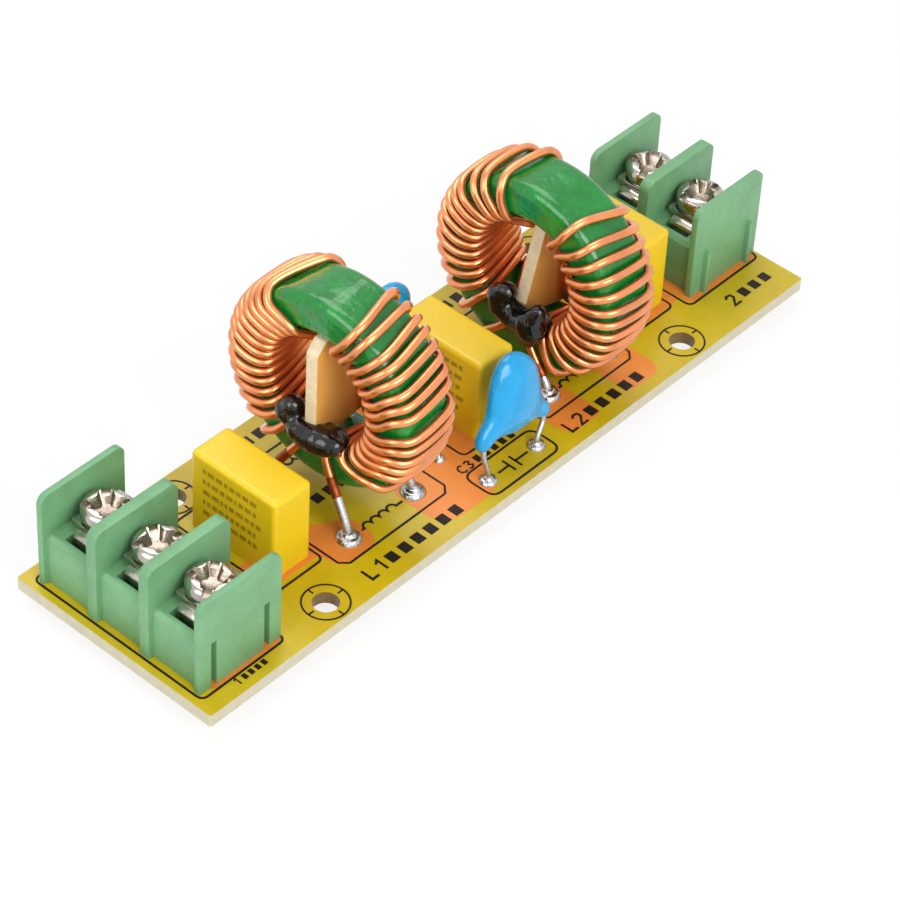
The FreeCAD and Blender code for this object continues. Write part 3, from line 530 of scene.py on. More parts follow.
def softened(node_name, width):
    """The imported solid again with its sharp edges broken, as a moulding or stamping has them."""
    bm = bmesh.new()
    bm.from_mesh(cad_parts[node_name].data)
    bmesh.ops.remove_doubles(bm, verts=bm.verts, dist=0.002 * MM)
    bmesh.ops.dissolve_limit(bm, angle_limit=math.radians(1.0), verts=bm.verts, edges=bm.edges)
    sharp = [e for e in bm.edges if len(e.link_faces) == 2 and e.calc_face_angle(0) > SHARP_ANGLE]
    bmesh.ops.bevel(bm, geom=sharp, offset=width * MM, segments=2, profile=0.6,
                    affect="EDGES", clamp_overlap=True)
    mesh = mesh_of(bm, node_name + "_softened")
    if "custom_normal" in mesh.attributes:
        mesh.attributes.remove(mesh.attributes["custom_normal"])
    mesh.shade_smooth()
    mesh.set_sharp_from_angle(angle=math.radians(50))
    return mesh


def smooth_line(name, points, steps, order):
    """A curve of one smooth spline with the points as its control points."""
    curve = bpy.data.curves.new(name, "CURVE")
    curve.dimensions = "3D"
    curve.resolution_u = steps
    line = curve.splines.new("NURBS")
    line.points.add(len(points) - 1)
    for point, place in zip(line.points, points):
        point.co = (*(c * MM for c in place), 1.0)
    line.order_u = order
    line.use_endpoint_u = True
    return curve


def curve_mesh(curve):
    """The mesh that a curve gives; the curve is dropped."""
    mesh = taken_from(linked(curve.name, curve))
    bpy.data.curves.remove(curve)
    return mesh


def smooth_tube(name, points, radius, steps, order=3):
    """A round wire on one smooth line that follows the points."""
    curve = smooth_line(name, points, steps, order)
    curve.bevel_depth = radius * MM
    curve.bevel_resolution = 4
    curve.use_fill_caps = True
    return curve_mesh(curve)


def stretch_of(points, start, stop):
    """The places along a wire's smooth line between two lengths from its start, in millimetres."""
    mesh = curve_mesh(smooth_line("trace", points, 8, WIRE_ORDER))
    places = [v.co / MM for v in mesh.vertices]
    bpy.data.meshes.remove(mesh)
    picked, run = [], 0.0
    for here, there in zip(places, places[1:]):
        step = (there - here).length
        if start < run < stop:
            picked.append(here)
        for cut in (start, stop):
            if run <= cut < run + step:
                picked.append(here.lerp(there, (cut - run) / step))
        run += step
    return picked


def turned(bm, profile, centre, sides):
    """A turned form from radius and height pairs about an upright axis."""
    rings = []
    for radius, height in profile:
        turns = [2 * math.pi * i / sides for i in range(sides if radius else 1)]
        rings.append([bm.verts.new((centre[0] + radius * math.cos(turn),
                                    centre[1] + radius * math.sin(turn), height)) for turn in turns])
    for low, high in zip(rings, rings[1:]):
        for i in range(sides):
            k = (i + 1) % sides
            corners = (low[i % len(low)], low[k % len(low)], high[k % len(high)], high[i % len(high)])
            bm.faces.new(list(dict.fromkeys(corners)))


def prism(bm, base, lid):
    """A closed form between two outlines with as many points each."""
    low, high = ([bm.verts.new(point) for point in outline] for outline in (base, lid))
    bm.faces.new(low[::-1])
    bm.faces.new(high)
    for i in range(len(low)):
        k = (i + 1) % len(low)
        bm.faces.new((low[i], low[k], high[k], high[i]))


def steps_over(low, high, step):
    """Even steps from one value to another."""
    return [low + step * i for i in range(int((high - low) / step) + 1)]


def inside(spot, outline):
    """Whether a flat spot lies within a closed outline."""
    hits = 0
    for here, there in zip(outline, outline[1:] + outline[:1]):
        if (here.y > spot.y) != (there.y > spot.y):
            hits += spot.x < here.x + (there.x - here.x) * (spot.y - here.y) / (there.y - here.y)
    return hits % 2 == 1


def screw_profile(base, top):
    """Radius and height pairs of a screw: shank, head and its rounded shoulder."""
    low, radius, bend = top - HEAD_HEIGHT, SCREW_HEAD / 2, HEAD_ROUND
    points = [(0.0, base), (SCREW_SHANK / 2, base), (SCREW_SHANK / 2, low), (radius - HEAD_BREAK, low),
              (radius, low + HEAD_BREAK)]
    for lean in (math.radians(15 * i) for i in range(7)):
        points.append((radius - bend + bend * math.cos(lean),
                       top - bend + bend * math.sin(lean) - HEAD_CROWN))
    return points + [(0.0, top)]


def cross_tool(bm, width, length, low, high, taper):
    """A crossed cutter that narrows towards its foot."""
    half, reach, waist, hip = width / 2, length / 2, width * CROSS_WAIST, width * CROSS_HIP
    quarter = [(reach, -half), (reach, half), (waist, hip), (hip, waist)]
    outline = [Matrix.Rotation(math.radians(90 * i), 2) @ Vector(p) for i in range(4) for p in quarter]
    prism(bm, [(*(p * taper), low) for p in outline], [(*(p * CROSS_FLARE), high) for p in outline])


def cut_away(body, cutter, name):
    """The body less the cutter, its new edges broken and the cut faces in the second finish."""
    holders = []
    for part, index in ((body, 0), (cutter, 1)):
        for face in part.faces:
            face.material_index = index
        mesh = mesh_from(part, name)
        mesh.materials.append(None)
        mesh.materials.append(None)
        holders.append(linked(name, mesh))
    blank, tool = holders
    cut = blank.modifiers.new("cut", "BOOLEAN")
    cut.operation, cut.object, cut.solver, cut.use_self = "DIFFERENCE", tool, "EXACT", True
    soft = blank.modifiers.new("soft", "BEVEL")
    soft.width, soft.segments, soft.angle_limit = SCREW_BREAK * MM, 2, math.radians(30)
    out = taken_from(blank)
    out.set_sharp_from_angle(angle=math.radians(40))
    bpy.data.objects.remove(tool)
    return out


# Flat areas and printed lines

def rounded_outline(points, radius, steps=5):
    """The outline with its corners rounded."""
    out = []
    spots = [Vector(point) for point in points]
    for before, here, after in zip(spots[-1:] + spots, spots, spots[1:] + spots[:1]):
        before, after = before - here, after - here
        reach = min(radius, before.length * 0.45, after.length * 0.45)
        first = here + before.normalized() * reach
        last = here + after.normalized() * reach
        for t in (k / steps for k in range(steps + 1)):
            out.append(tuple(first * (1 - t) ** 2 + here * (2 * t * (1 - t)) + last * t * t))
    return out


def flat_area(bm, outline, low, high):
    """A thin plate with the given outline."""
    prism(bm, *([(x, y, z) for x, y in outline] for z in (low, high)))


def line_strip(bm, points, width, low, high, closed=False):
    """A printed line of constant width through the points."""
    spots = [Vector(p) for p in points]
    count = len(spots)
    left, right = [], []
    for i, spot in enumerate(spots):
        ways = []
        if i > 0 or closed:
            ways.append((spot - spots[i - 1]).normalized())
        if i < count - 1 or closed:
            ways.append((spots[(i + 1) % count] - spot).normalized())
        way = (ways[0] + ways[-1]).normalized()
        side = Vector((-way.y, way.x)) * width / 2 / max(0.5, way.dot(ways[0]))
        left.append(spot + side)
        right.append(spot - side)
    rows = [[bm.verts.new((*spot, z)) for spot in edge]
            for edge, z in ((left, low), (left, high), (right, high), (right, low))]
    for i in range(count if closed else count - 1):
        k = (i + 1) % count
        for row, beside in zip(rows, rows[1:] + rows[:1]):
            bm.faces.new((row[i], beside[i], beside[k], row[k]))
    if not closed:
        for i in (0, -1):
            bm.faces.new([row[i] for row in rows])


def arc_points(centre, radius, start, stop, steps):
    turns = [math.radians(start + (stop - start) * i / steps) for i in range(steps + 1)]
    return [(centre[0] + radius * math.cos(t), centre[1] + radius * math.sin(t)) for t in turns]


def box_outline(x0, x1, y0, y1):
    return [(x0, y0), (x1, y0), (x1, y1), (x0, y1)]


def cut_box(x0, x1, y0, y1, cut):
    """A box outline with its corners cut off."""
    return rounded_outline(box_outline(x0, x1, y0, y1), cut, 1)


# Outlines of the copper areas of the front half; the back half mirrors them.
COPPER_AREAS = [
    [(-34.0, -5.9), (-24.9, -5.9), (-24.4, -8.9), (-19.3, -9.1), (-18.3, -7.6), (-18.4, -4.4),
     (-24.0, -1.2), (-34.0, -1.2)],
    [(-12.3, -5.4), (-12.3, -10.8), (-10.4, -12.7), (-4.4, -12.7), (-2.3, -11.6), (-2.5, -9.5),
     (-1.0, -6.2), (7.0, -6.2), (7.0, -1.2), (-8.0, -1.2)],
    [(8.3, -1.2), (8.3, -11.6), (9.3, -12.7), (13.9, -12.7), (13.8, -1.2)],
    [(18.5, -5.0), (18.5, -12.7), (23.4, -12.8), (24.4, -11.4), (24.2, -6.6), (34.9, -6.4),
     (34.9, -1.2), (22.0, -1.2)],
    box_outline(-46.9, -36.5, -11.95, -1.2), box_outline(35.2, 47.4, -7.95, -1.2),
]
# Closed printed outlines with the radius of their corners
PRINTED_OUTLINES = [
    (box_outline(-48.5, -36.3, -12.1, 12.8), 0.9), (box_outline(34.9, 47.5, -8.15, 9.6), 0.9),
    (box_outline(-32.2, -24.9, -6.7, 8.4), 0.9), (box_outline(-2.5, 6.8, -6.65, 7.2), 0.9),
    (box_outline(26.6, 33.5, -6.75, 8.4), 0.9),
    (cut_box(-24.3, -7.45, -9.15, 9.15, 0.9), 0.15), (cut_box(8.0, 23.76, -9.15, 9.15, 0.9), 0.15),
    (box_outline(-5.05, 6.1, -13.3, -8.8), 1.3), (box_outline(-5.05, 6.1, 8.8, 13.3), 1.3),
]


def coil_sign(x, y, side):
    """The four bows of a coil sign along X with its two tails."""
    points = [(x, y), (x + COIL_TAIL, y)]
    for i in range(4):
        middle = x + COIL_TAIL + COIL_BOW * (2 * i + 1)
        points += arc_points((middle, y), COIL_BOW, 180, 180 - side * 180, 6)[1:]
    return points + [(points[-1][0] + 1.0, y)]


def capacitor_sign(y):
    """Two plates and two tails."""
    left, right = CAPACITOR_SIGN_X
    return [[(right, y - 1.0), (right, y + 1.0)], [(left, y - 1.0), (left, y + 1.0)],
            [(right, y), (3.0, y)], [(left, y), (-1.87, y)]]


# Text, start in x, foot in y, height, line width
TEXTS = [("L1", -23.6, -12.55, 1.7, 0.32), ("L2", 8.9, -12.5, 1.7, 0.32), ("2", 38.6, -11.8, 1.7, 0.3),
         ("1", -44.5, -13.3, 1.0, 0.18), ("C3", -4.7, -8.5, 1.2, 0.24)]
# Start in x, middle in y, bars, length, gap, height
BAR_ROWS = [(-20.2, -11.7, 6, 1.25, 0.77, 1.45), (12.4, -11.65, 5, 1.25, 0.74, 1.45),
            (40.7, -10.95, 3, 1.15, 0.75, 1.35), (-43.3, -12.8, 4, 0.55, 0.39, 0.75),
            (-2.1, -7.9, 5, 0.8, 0.55, 1.05), (-19.2, 0.2, 3, 1.2, 0.7, 1.3),
            (-20.2, 11.9, 5, 1.25, 0.77, 1.45), (12.4, 11.9, 5, 1.25, 0.74, 1.45)]
GLYPHS = {
    "1": [[(0.2, 0.75), (0.5, 1.0), (0.5, 0.0)]],
    "2": [[(0.05, 0.8), (0.25, 1.0), (0.6, 0.95), (0.65, 0.65), (0.05, 0.0), (0.7, 0.0)]],
    "3": [[(0.05, 0.9), (0.4, 1.0), (0.65, 0.8), (0.35, 0.52), (0.68, 0.28), (0.4, 0.0), (0.0, 0.1)]],
    "C": [[(0.7, 0.85), (0.45, 1.0), (0.1, 0.8), (0.0, 0.5), (0.1, 0.2), (0.45, 0.0), (0.7, 0.15)]],
    "L": [[(0.05, 1.0), (0.05, 0.0), (0.65, 0.0)]],
}


def designator(bm, text, x, y, height, width, low, high):
    """Plain letters and numbers in one line, of constant line width."""
    for index, letter in enumerate(text):
        for stroke in GLYPHS[letter]:
            points = [(x + (index * 0.95 + u) * height, y + v * height) for u, v in stroke]
            line_strip(bm, points, width, low, high)


def mark_row(bm, x, y, count, length, gap, height, low, high):
    """A row of plain bars, where a board has a line of print."""
    for start in (x + i * (length + gap) for i in range(count)):
        flat_area(bm, box_outline(start, start + length, y - height / 2, y + height / 2), low, high)


# Chokes

def ring_point(side, angle, radius, x):
    turn = math.radians(angle)
    return Vector((x, side * radius * math.sin(turn), radius * math.cos(turn)))


def corner(side, angle, inner, far, first_to_last, wire):
    """Bend points of the wire around one rounded edge of the core."""
    bend = 90.0 / CORNER_BENDS
    edge, lift = (CORE_EDGE, 0.0) if inner else (OUTER_BEND, OUTER_LIFT)
    radius = (edge + WIRE_SLACK + wire / 2) / math.cos(math.radians(bend / 2))
    in_out = -1 if inner else 1
    near_far = 1 if far else -1
    mid_radius = (CORE_INNER if inner else CORE_OUTER) / 2 - in_out * (edge - lift)
    mid_x = near_far * (CORE_WIDTH / 2 - edge + lift)
    leans = [math.radians(bend * (i + 0.5)) for i in range(CORNER_BENDS)]
    points = [ring_point(side, angle, mid_radius + in_out * radius * math.cos(lean),
                         mid_x + near_far * radius * math.sin(lean)) for lean in leans]
    return points if first_to_last else points[::-1]


def face_bow(side, start, stop, near_far, turn, wire):
    """Middle of the stretch across one face of the core, where a hand wound turn bows."""
    angle = (start + stop) / 2 + SAG + SAG_DRIFT * math.sin(1.7 * turn)
    reach = near_far * (CORE_WIDTH / 2 + WIRE_SLACK + wire / 2 + FACE_LIFT)
    return ring_point(side, angle, (CORE_OUTER + CORE_INNER) / 4, reach)


def placed(choke, point):
    """A point of the choke's own frame on the board."""
    return choke["centre"] + Matrix.Rotation(math.radians(choke["yaw"]), 3, "Z") @ point


def pad_spot(choke, side, reach):
    return choke["centre"].x + reach * PAD_REACH_X, side * PAD_REACH_Y


def winding_route(choke, side, wire):
    """Every bend of one coil from pad to pad."""
    key = "front" if side < 0 else "back"
    near, far, inner = (choke[key + end][::-1] for end in ("_near", "_far", "_inner"))
    local = corner(side, ENTRY_ANGLE, True, False, False, wire)
    for turn, (near_out, far_out, near_in) in enumerate(zip(near, far, inner)):
        local += corner(side, near_in + INNER_LEAD, True, True, True, wire)
        local.append(face_bow(side, near_in + INNER_LEAD, far_out, 1, turn, wire))
        local += corner(side, far_out, False, True, False, wire)
        local += corner(side, near_out, False, False, True, wire)
        local.append(face_bow(side, near_out, near_in, -1, turn, wire))
        local += corner(side, near_in, True, False, False, wire)
    beside = side * (DIVIDER_THICKNESS / 2 + DIVIDER_GAP + wire / 2)
    local += [Vector((x, beside, level)) for x, level in DROP_BENDS]
    local += corner(side, ENTRY_ANGLE, True, True, True, wire)
    start, end = ([Vector((*pad_spot(choke, side, reach), level)) for level in PAD_LEVELS]
                  for reach in (-1, 1))
    return start + [placed(choke, point) for point in local] + end[::-1]


def run_together(name, bm, voxel, passes):
    """Overlapping closed forms as one skin with its joins smoothed."""
    holder = linked(name, mesh_from(bm, name))
    skin = holder.modifiers.new("skin", "REMESH")
    skin.mode = "VOXEL"
    skin.voxel_size = voxel * MM
    smooth = holder.modifiers.new("smooth", "SMOOTH")
    smooth.factor = SMOOTHING
    smooth.iterations = passes
    return taken_from(holder)


# Settings

class LF_PG_board(bpy.types.PropertyGroup):
    mask_colour: colour_prop("Solder mask", "the bare board's faces", 206, 178, 14)
    edge_colour: colour_prop("Cut edge", "the laminate at its cut edges", 198, 191, 164)
    # Painted shade: the laminate of the hole walls darkened, as shade falls inside the holes.
    hole_shade_colour: colour_prop("Hole wall", "the laminate inside its holes", 136, 102, 36)
    copper_colour: colour_prop("Copper area", "copper seen through the mask", 236, 138, 54)
    ink_colour: colour_prop("Ink", "the printed lines", 20, 12, 8)
    line_width: length_prop("Line width", "Width of the printed outlines", 0.27)
    copper_step: length_prop("Copper step", "How proud the copper areas stand", 0.03)
    ink_step: length_prop("Ink step", "How proud the print stands", 0.045)


class LF_PG_terminals(bpy.types.PropertyGroup):
    housing_colour: colour_prop("Housing", "the moulded blocks", 112, 166, 119)
    metal_colour: colour_prop("Plating", "plates, washers and screws", 200, 192, 182)
    # Painted shade: a darker copy of the plating, as shade and dark reflections fall inside the crosses.
    recess_shade_colour: colour_prop("Recess", "the metal inside the screws' crosses", 166, 152, 138)
    edge_break: length_prop("Edge break", "Rounding of the moulded edges", 0.16)
    metal_break: length_prop("Metal break", "Rounding of the metal edges", 0.10)


class LF_PG_capacitors(bpy.types.PropertyGroup):
    film_colour: colour_prop("Film case", "the film capacitors", 234, 198, 22)
    film_print_colour: colour_prop("Case print", "the plain bars on the cases", 158, 120, 16)
    disc_colour: colour_prop("Disc coat", "the disc capacitors", 0, 162, 224)
    skin_cell: length_prop("Skin cell", "Cell of the coated disc's surface", 0.16)


class LF_PG_chokes(bpy.types.PropertyGroup):
    wire_colour: colour_prop("Wire", "the enamelled wire", 247, 154, 94)
    bared_colour: colour_prop("Bared wire", "the wire where its coat is scraped off", 168, 84, 44)
    core_colour: colour_prop("Core coat", "the ring cores", 6, 136, 48)
    divider_colour: colour_prop("Divider", "the divider plates", 230, 170, 78)
    divider_edge_colour: colour_prop("Divider edge", "the dividers' cut edges", 236, 218, 182)
    glue_colour: colour_prop("Glue", "the glue at the divider's foot", 10, 9, 11)
    wire_diameter: length_prop("Wire diameter", "Diameter of the winding wire", 1.0)
    turn_steps: IntProperty(name="Turn steps", description="Steps between the bends of a turn", default=4,
                            min=1, max=8)


class LF_PG_solder(bpy.types.PropertyGroup):
    solder_colour: colour_prop("Solder", "the joints", 206, 206, 210)
    tin_colour: colour_prop("Tinned wire", "tinned leads", 200, 200, 204)
    lacquer_colour: colour_prop("Lacquer", "the resistor", 196, 178, 140)
    band_colour: colour_prop("Bands", "the resistor's bands", 120, 60, 30)
    choke_joint: length_prop("Choke joint", "Radius of the joints at the winding ends", 1.5)
    small_joint: length_prop("Small joint", "Radius of the joints at the disc capacitors", 1.1)


class LF_PG_stage(bpy.types.PropertyGroup):
    floor_colour: colour_prop("Floor", "the floor", 246, 246, 246)
    key_power: FloatProperty(name="Key light", description="Power of the main light", default=3.1,
                             min=0.0, subtype="POWER", unit="POWER")
    fill_power: FloatProperty(name="Fill light", description="Power of the side light", default=1.5,
                              min=0.0, subtype="POWER", unit="POWER")
    room_light: FloatProperty(name="Room light", description="Strength of the even light", default=0.34,
                              min=0.0)
    lens: FloatProperty(name="Lens", description="Focal length of the camera", default=145.8,
                        min=10.0, unit="CAMERA")


# Steps

class LF_OT_board(bpy.types.Operator):
    """Gives the circuit board its mask, edges and masked copper areas"""
    bl_idname = "linefilter.board"
    bl_label = "Circuit board"

    def execute(self, context):
        settings = context.scene.lf_board
        dress_node("circuit_board", board_finish(settings))
        step = settings.copper_step / MM
        bm = bmesh.new()
        for outline in (rounded_outline(points, COPPER_BEND) for points in COPPER_AREAS):
            mirrored = [(x, -y) for x, y in outline][::-1]
            for shape in (outline, mirrored):
                flat_area(bm, shape, TOP - SINK, TOP + step)
                flat_area(bm, shape, -step, SINK)
        add_piece("copper_areas", mesh_from(bm, "copper_areas"), copper_area_finish(settings))
        return {"FINISHED"}


class LF_OT_print(bpy.types.Operator):
    """Prints the outlines, signs and plain marks on the board"""
    bl_idname = "linefilter.print"
    bl_label = "Printed lines"

    def execute(self, context):
        settings = context.scene.lf_board
        width = settings.line_width / MM
        levels = TOP - SINK, TOP + settings.ink_step / MM
        bm = bmesh.new()
        for points, radius in PRINTED_OUTLINES:
            line_strip(bm, rounded_outline(points, radius), width, *levels, closed=True)
        for side in (-1, 1):
            signs = [coil_sign(x, side * COIL_SIGN_Y, -side) for x in COIL_SIGN_X]
            for stroke in signs + capacitor_sign(side * CAPACITOR_SIGN_Y):
                line_strip(bm, stroke, width, *levels)
            for hole in (-HOLE_X, HOLE_X):
                self.target(bm, (hole, side * HOLE_Y), levels)
        for text, x, y, height, line in TEXTS:
            designator(bm, text, x, y, height, line, *levels)
        for row in BAR_ROWS:
            mark_row(bm, *row, *levels)
        add_piece("printed_lines", mesh_from(bm, "printed_lines"), ink_finish(settings))
        return {"FINISHED"}

    def target(self, bm, middle, levels):
        """A ring about a hole with four ticks inside it."""
        line_strip(bm, arc_points(middle, TARGET_RADIUS, 0, 348, 30), TARGET_LINE, *levels, closed=True)
        for turn in (0, 90, 180, 270):
            tick = [arc_points(middle, radius, turn, turn, 1)[0] for radius in TARGET_TICK]
            line_strip(bm, tick, TARGET_LINE, *levels)


class LF_OT_terminals(bpy.types.Operator):
    """Dresses the two terminal blocks, with their moulded and stamped edges broken"""
    bl_idname = "linefilter.terminals"
    bl_label = "Terminal blocks"

    def execute(self, context):
        settings = context.scene.lf_terminals
        for block in SCREW_PLACES:
            housing = block + "_housing"
            add_piece(housing + "_moulding", softened(housing, settings.edge_break / MM),
                      housing_finish(settings), [housing])
            for node in (block + part for part in ("_plates", "_clamp_washers", "_spring_washers")):
                add_piece(node + "_plated", softened(node, settings.metal_break / MM),
                          plated_finish_painted_reflections(settings), [node])
            screws = add_piece(block + "_screws_turned", self.screws(block), plated_finish_painted_reflections(settings),
                               [block + "_screws"])
            # The cut faces of the crosses take the darker copy of the plating: painted shade in the
            # recesses.
            screws.data.materials.append(recess_shade_finish(settings))
        return {"FINISHED"}

    def screws(self, block):
        """Round headed screws with a wide cross and a narrow one that reaches the rim."""
        base, top = (end[2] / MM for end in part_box(block + "_screws"))
        made = []
        for x, y, turn in SCREW_PLACES[block]:
            body, cutter = bmesh.new(), bmesh.new()
            turned(body, screw_profile(base, top), (x, y), 56)
            for width, length, depth, taper in RECESSES:
                cross_tool(cutter, width, length, top - depth, top + 1.0, taper)
            bmesh.ops.rotate(cutter, verts=cutter.verts, matrix=Matrix.Rotation(math.radians(turn), 3, "Z"))
            bmesh.ops.translate(cutter, verts=cutter.verts, vec=(x, y, 0))
            made.append(cut_away(body, cutter, "screw"))
        return joined("screws", made)


class LF_OT_film_capacitors(bpy.types.Operator):
    """Dresses the film capacitors and prints plain bars on their sides"""
    bl_idname = "linefilter.film_capacitors"
    bl_label = "Film capacitors"

    def execute(self, context):
        settings = context.scene.lf_capacitors
        for number, (x, y) in enumerate(FILM_PLACES, 1):
            name = "film_capacitor_%d_" % number
            dress_node(name + "case", film_finish(settings))
            dress_node(name + "potting", resin_finish(settings))
            dress_node(name + "leads", tin_finish(context.scene.lf_solder))
            bars = self.bars(x - FILM_THICKNESS / 2, y, random.Random(number))
            add_piece(name + "print", bars, film_ink_finish(settings))
        return {"FINISHED"}

    def bars(self, face, y, chance):
        """Rows of short bars on the case's side, where such a case is printed."""
        bm = bmesh.new()
        for row in range(CASE_ROWS):
            low = TOP + CASE_TOP - row * CASE_PITCH
            start = y + CASE_START
            while start > y + CASE_END:
                end = start - chance.uniform(*CASE_BAR)
                outline = box_outline(end, start, low, low + CASE_BAR_HEIGHT)
                prism(bm, *([(face + depth, *spot) for spot in outline] for depth in CASE_DEPTHS))
                start = end - CASE_GAP
        return mesh_from(bm, "bars")


class LF_OT_chokes(bpy.types.Operator):
    """Winds the round enamelled wires and dresses cores and dividers"""
    bl_idname = "linefilter.chokes"
    bl_label = "Chokes"

    def execute(self, context):
        settings = context.scene.lf_chokes
        for choke in CHOKES:
            name = choke["name"]
            dress_node(name + "_core", core_finish(settings))
            tinned, bared = [], []
            for side, key in ((-1, "front"), (1, "back")):
                route = winding_route(choke, side, settings.wire_diameter / MM)
                self.wind(settings, name, key, route)
                for way in (route, route[::-1]):
                    upright, slant = way[2].z - way[0].z, (way[3] - way[2]).length
                    middle = upright + slant * choke["tinned"]
                    tinned.append(self.sleeve(settings, way, 0.0, middle, TIN_COAT))
                    bared.append(self.sleeve(settings, way, middle, middle + slant * BARE_RUN, BARE_COAT))
            add_piece(name + "_tinned_ends", joined(name + "_tinned_ends", tinned),
                      tin_finish(context.scene.lf_solder))
            add_piece(name + "_bared_ends", joined(name + "_bared_ends", bared), bared_finish(settings))
            add_piece(name + "_divider_sheet", softened(name + "_divider", DIVIDER_BREAK),
                      divider_finish(settings), [name + "_divider"])
        return {"FINISHED"}

    def wind(self, settings, name, key, route):
        """One winding as a round wire."""
        mesh = smooth_tube(name + "_wire", route, settings.wire_diameter / MM / 2, settings.turn_steps,
                           WIRE_ORDER)
        add_piece(name + "_wire_" + key, mesh, wire_finish(settings), [name + "_winding_" + key])

    def sleeve(self, settings, way, start, stop, coat):
        """A skin around the wire between two lengths from its end."""
        radius = settings.wire_diameter / MM / 2 + coat
        return smooth_tube("sleeve", stretch_of(way, start, stop), radius, 2)


class LF_OT_glue(bpy.types.Operator):
    """Sets the lumps of black glue at the foot of each divider"""
    bl_idname = "linefilter.glue"
    bl_label = "Glue"

    def execute(self, context):
        settings = context.scene.lf_chokes
        for choke in CHOKES:
            name = choke["name"] + "_glue"
            bm = bmesh.new()
            for x, y, z, radius in choke["blobs"]:
                bmesh.ops.create_icosphere(bm, subdivisions=3, radius=radius + GLUE_SWELL,
                                           matrix=Matrix.Translation(placed(choke, Vector((x, y, z)))))
            add_piece(name + "_lump", run_together(name + "_lump", bm, GLUE_CELL, GLUE_PASSES),
                      glue_finish(settings), [name])
        return {"FINISHED"}


class LF_OT_disc_capacitors(bpy.types.Operator):
    """Dips the disc capacitors and sets their leads"""
    bl_idname = "linefilter.disc_capacitors"
    bl_label = "Disc capacitors"

    def execute(self, context):
        settings = context.scene.lf_capacitors
        for side, name in ((-1, "disc_capacitor_front"), (1, "disc_capacitor_back")):
            body, leads = self.disc(settings), self.leads()
            if side > 0:
                body.transform(Matrix.Translation((0, 0, -BACK_DISC_DROP * MM)))
                for mesh in (body, leads):
                    mesh.transform(Matrix.Scale(-1, 4, (0, 1, 0)))
                    mesh.flip_normals()
            add_piece(name + "_coat", body, disc_finish(settings), [name + "_body"])
            add_piece(name + "_wires", leads, tin_finish(context.scene.lf_solder),
                      [name + "_leads"])
        return {"FINISHED"}

    def disc(self, settings):
        """The dipped coat: balls that just touch the outline from inside, run together."""
        lean = Matrix.Rotation(math.radians(-DISC_LEAN), 4, "X")
        place = Matrix.Translation(DISC_CENTRE) @ lean
        edge = [Vector(point) for point in rounded_outline(DISC_OUTLINE, DISC_BEND, 4)]
        bm = bmesh.new()
        for across, along in product(steps_over(-7.0, 6.0, DISC_CELL), steps_over(-7.0, 4.4, DISC_CELL)):
            spot = Vector((across, along))
            room = min((spot - point).length for point in edge)
            if room < DISC_RIM or not inside(spot, edge):
                continue
            half = min(DISC_HALF, RIM_HALF + SWELL * room)
            bmesh.ops.create_icosphere(bm, subdivisions=2, radius=1.0,
                                       matrix=place @ Matrix.Translation((across, 0, along))
                                       @ Matrix.Diagonal((room, half, room, 1)))
        return run_together("disc", bm, settings.skin_cell / MM, DISC_PASSES)

    def leads(self):
        """Two wires from their pads into the coat."""
        lean = math.radians(DISC_LEAN)
        wires = []
        for pad, (across, along) in zip(DISC_PADS, DISC_TIPS):
            end = DISC_CENTRE + Vector((across, along * math.sin(lean), along * math.cos(lean)))
            points = [Vector((*pad, level)) for level in LEAD_LEVELS]
            points += [end, end.lerp(DISC_CENTRE, LEAD_DEPTH)]
            wires.append(smooth_tube("lead", points, LEAD_RADIUS, 8))
        return joined("leads", wires)


class LF_OT_resistor(bpy.types.Operator):
    """Dresses the discharge resistor and its bands"""
    bl_idname = "linefilter.resistor"
    bl_label = "Discharge resistor"

    def execute(self, context):
        settings = context.scene.lf_solder
        dress_node("discharge_resistor_body", lacquer_finish(settings))
        dress_node("discharge_resistor_leads", tin_finish(settings))
        made = []
        for offset, width, radius in RESISTOR_BANDS:
            band = bmesh.new()
            turned(band, [(0.0, -width / 2), (radius, -width / 2), (radius, width / 2), (0.0, width / 2)],
                   (0, 0), 32)
            bmesh.ops.rotate(band, verts=band.verts, matrix=Matrix.Rotation(math.pi / 2, 3, "X"))
            bmesh.ops.translate(band, verts=band.verts,
                                vec=(RESISTOR_X, RESISTOR_Y + offset, TOP + RESISTOR_LIFT))
            made.append(mesh_from(band, "band"))
        bands = joined("resistor_bands", made)
        bands.shade_smooth()
        add_piece("resistor_bands", bands, band_finish(settings))
        return {"FINISHED"}


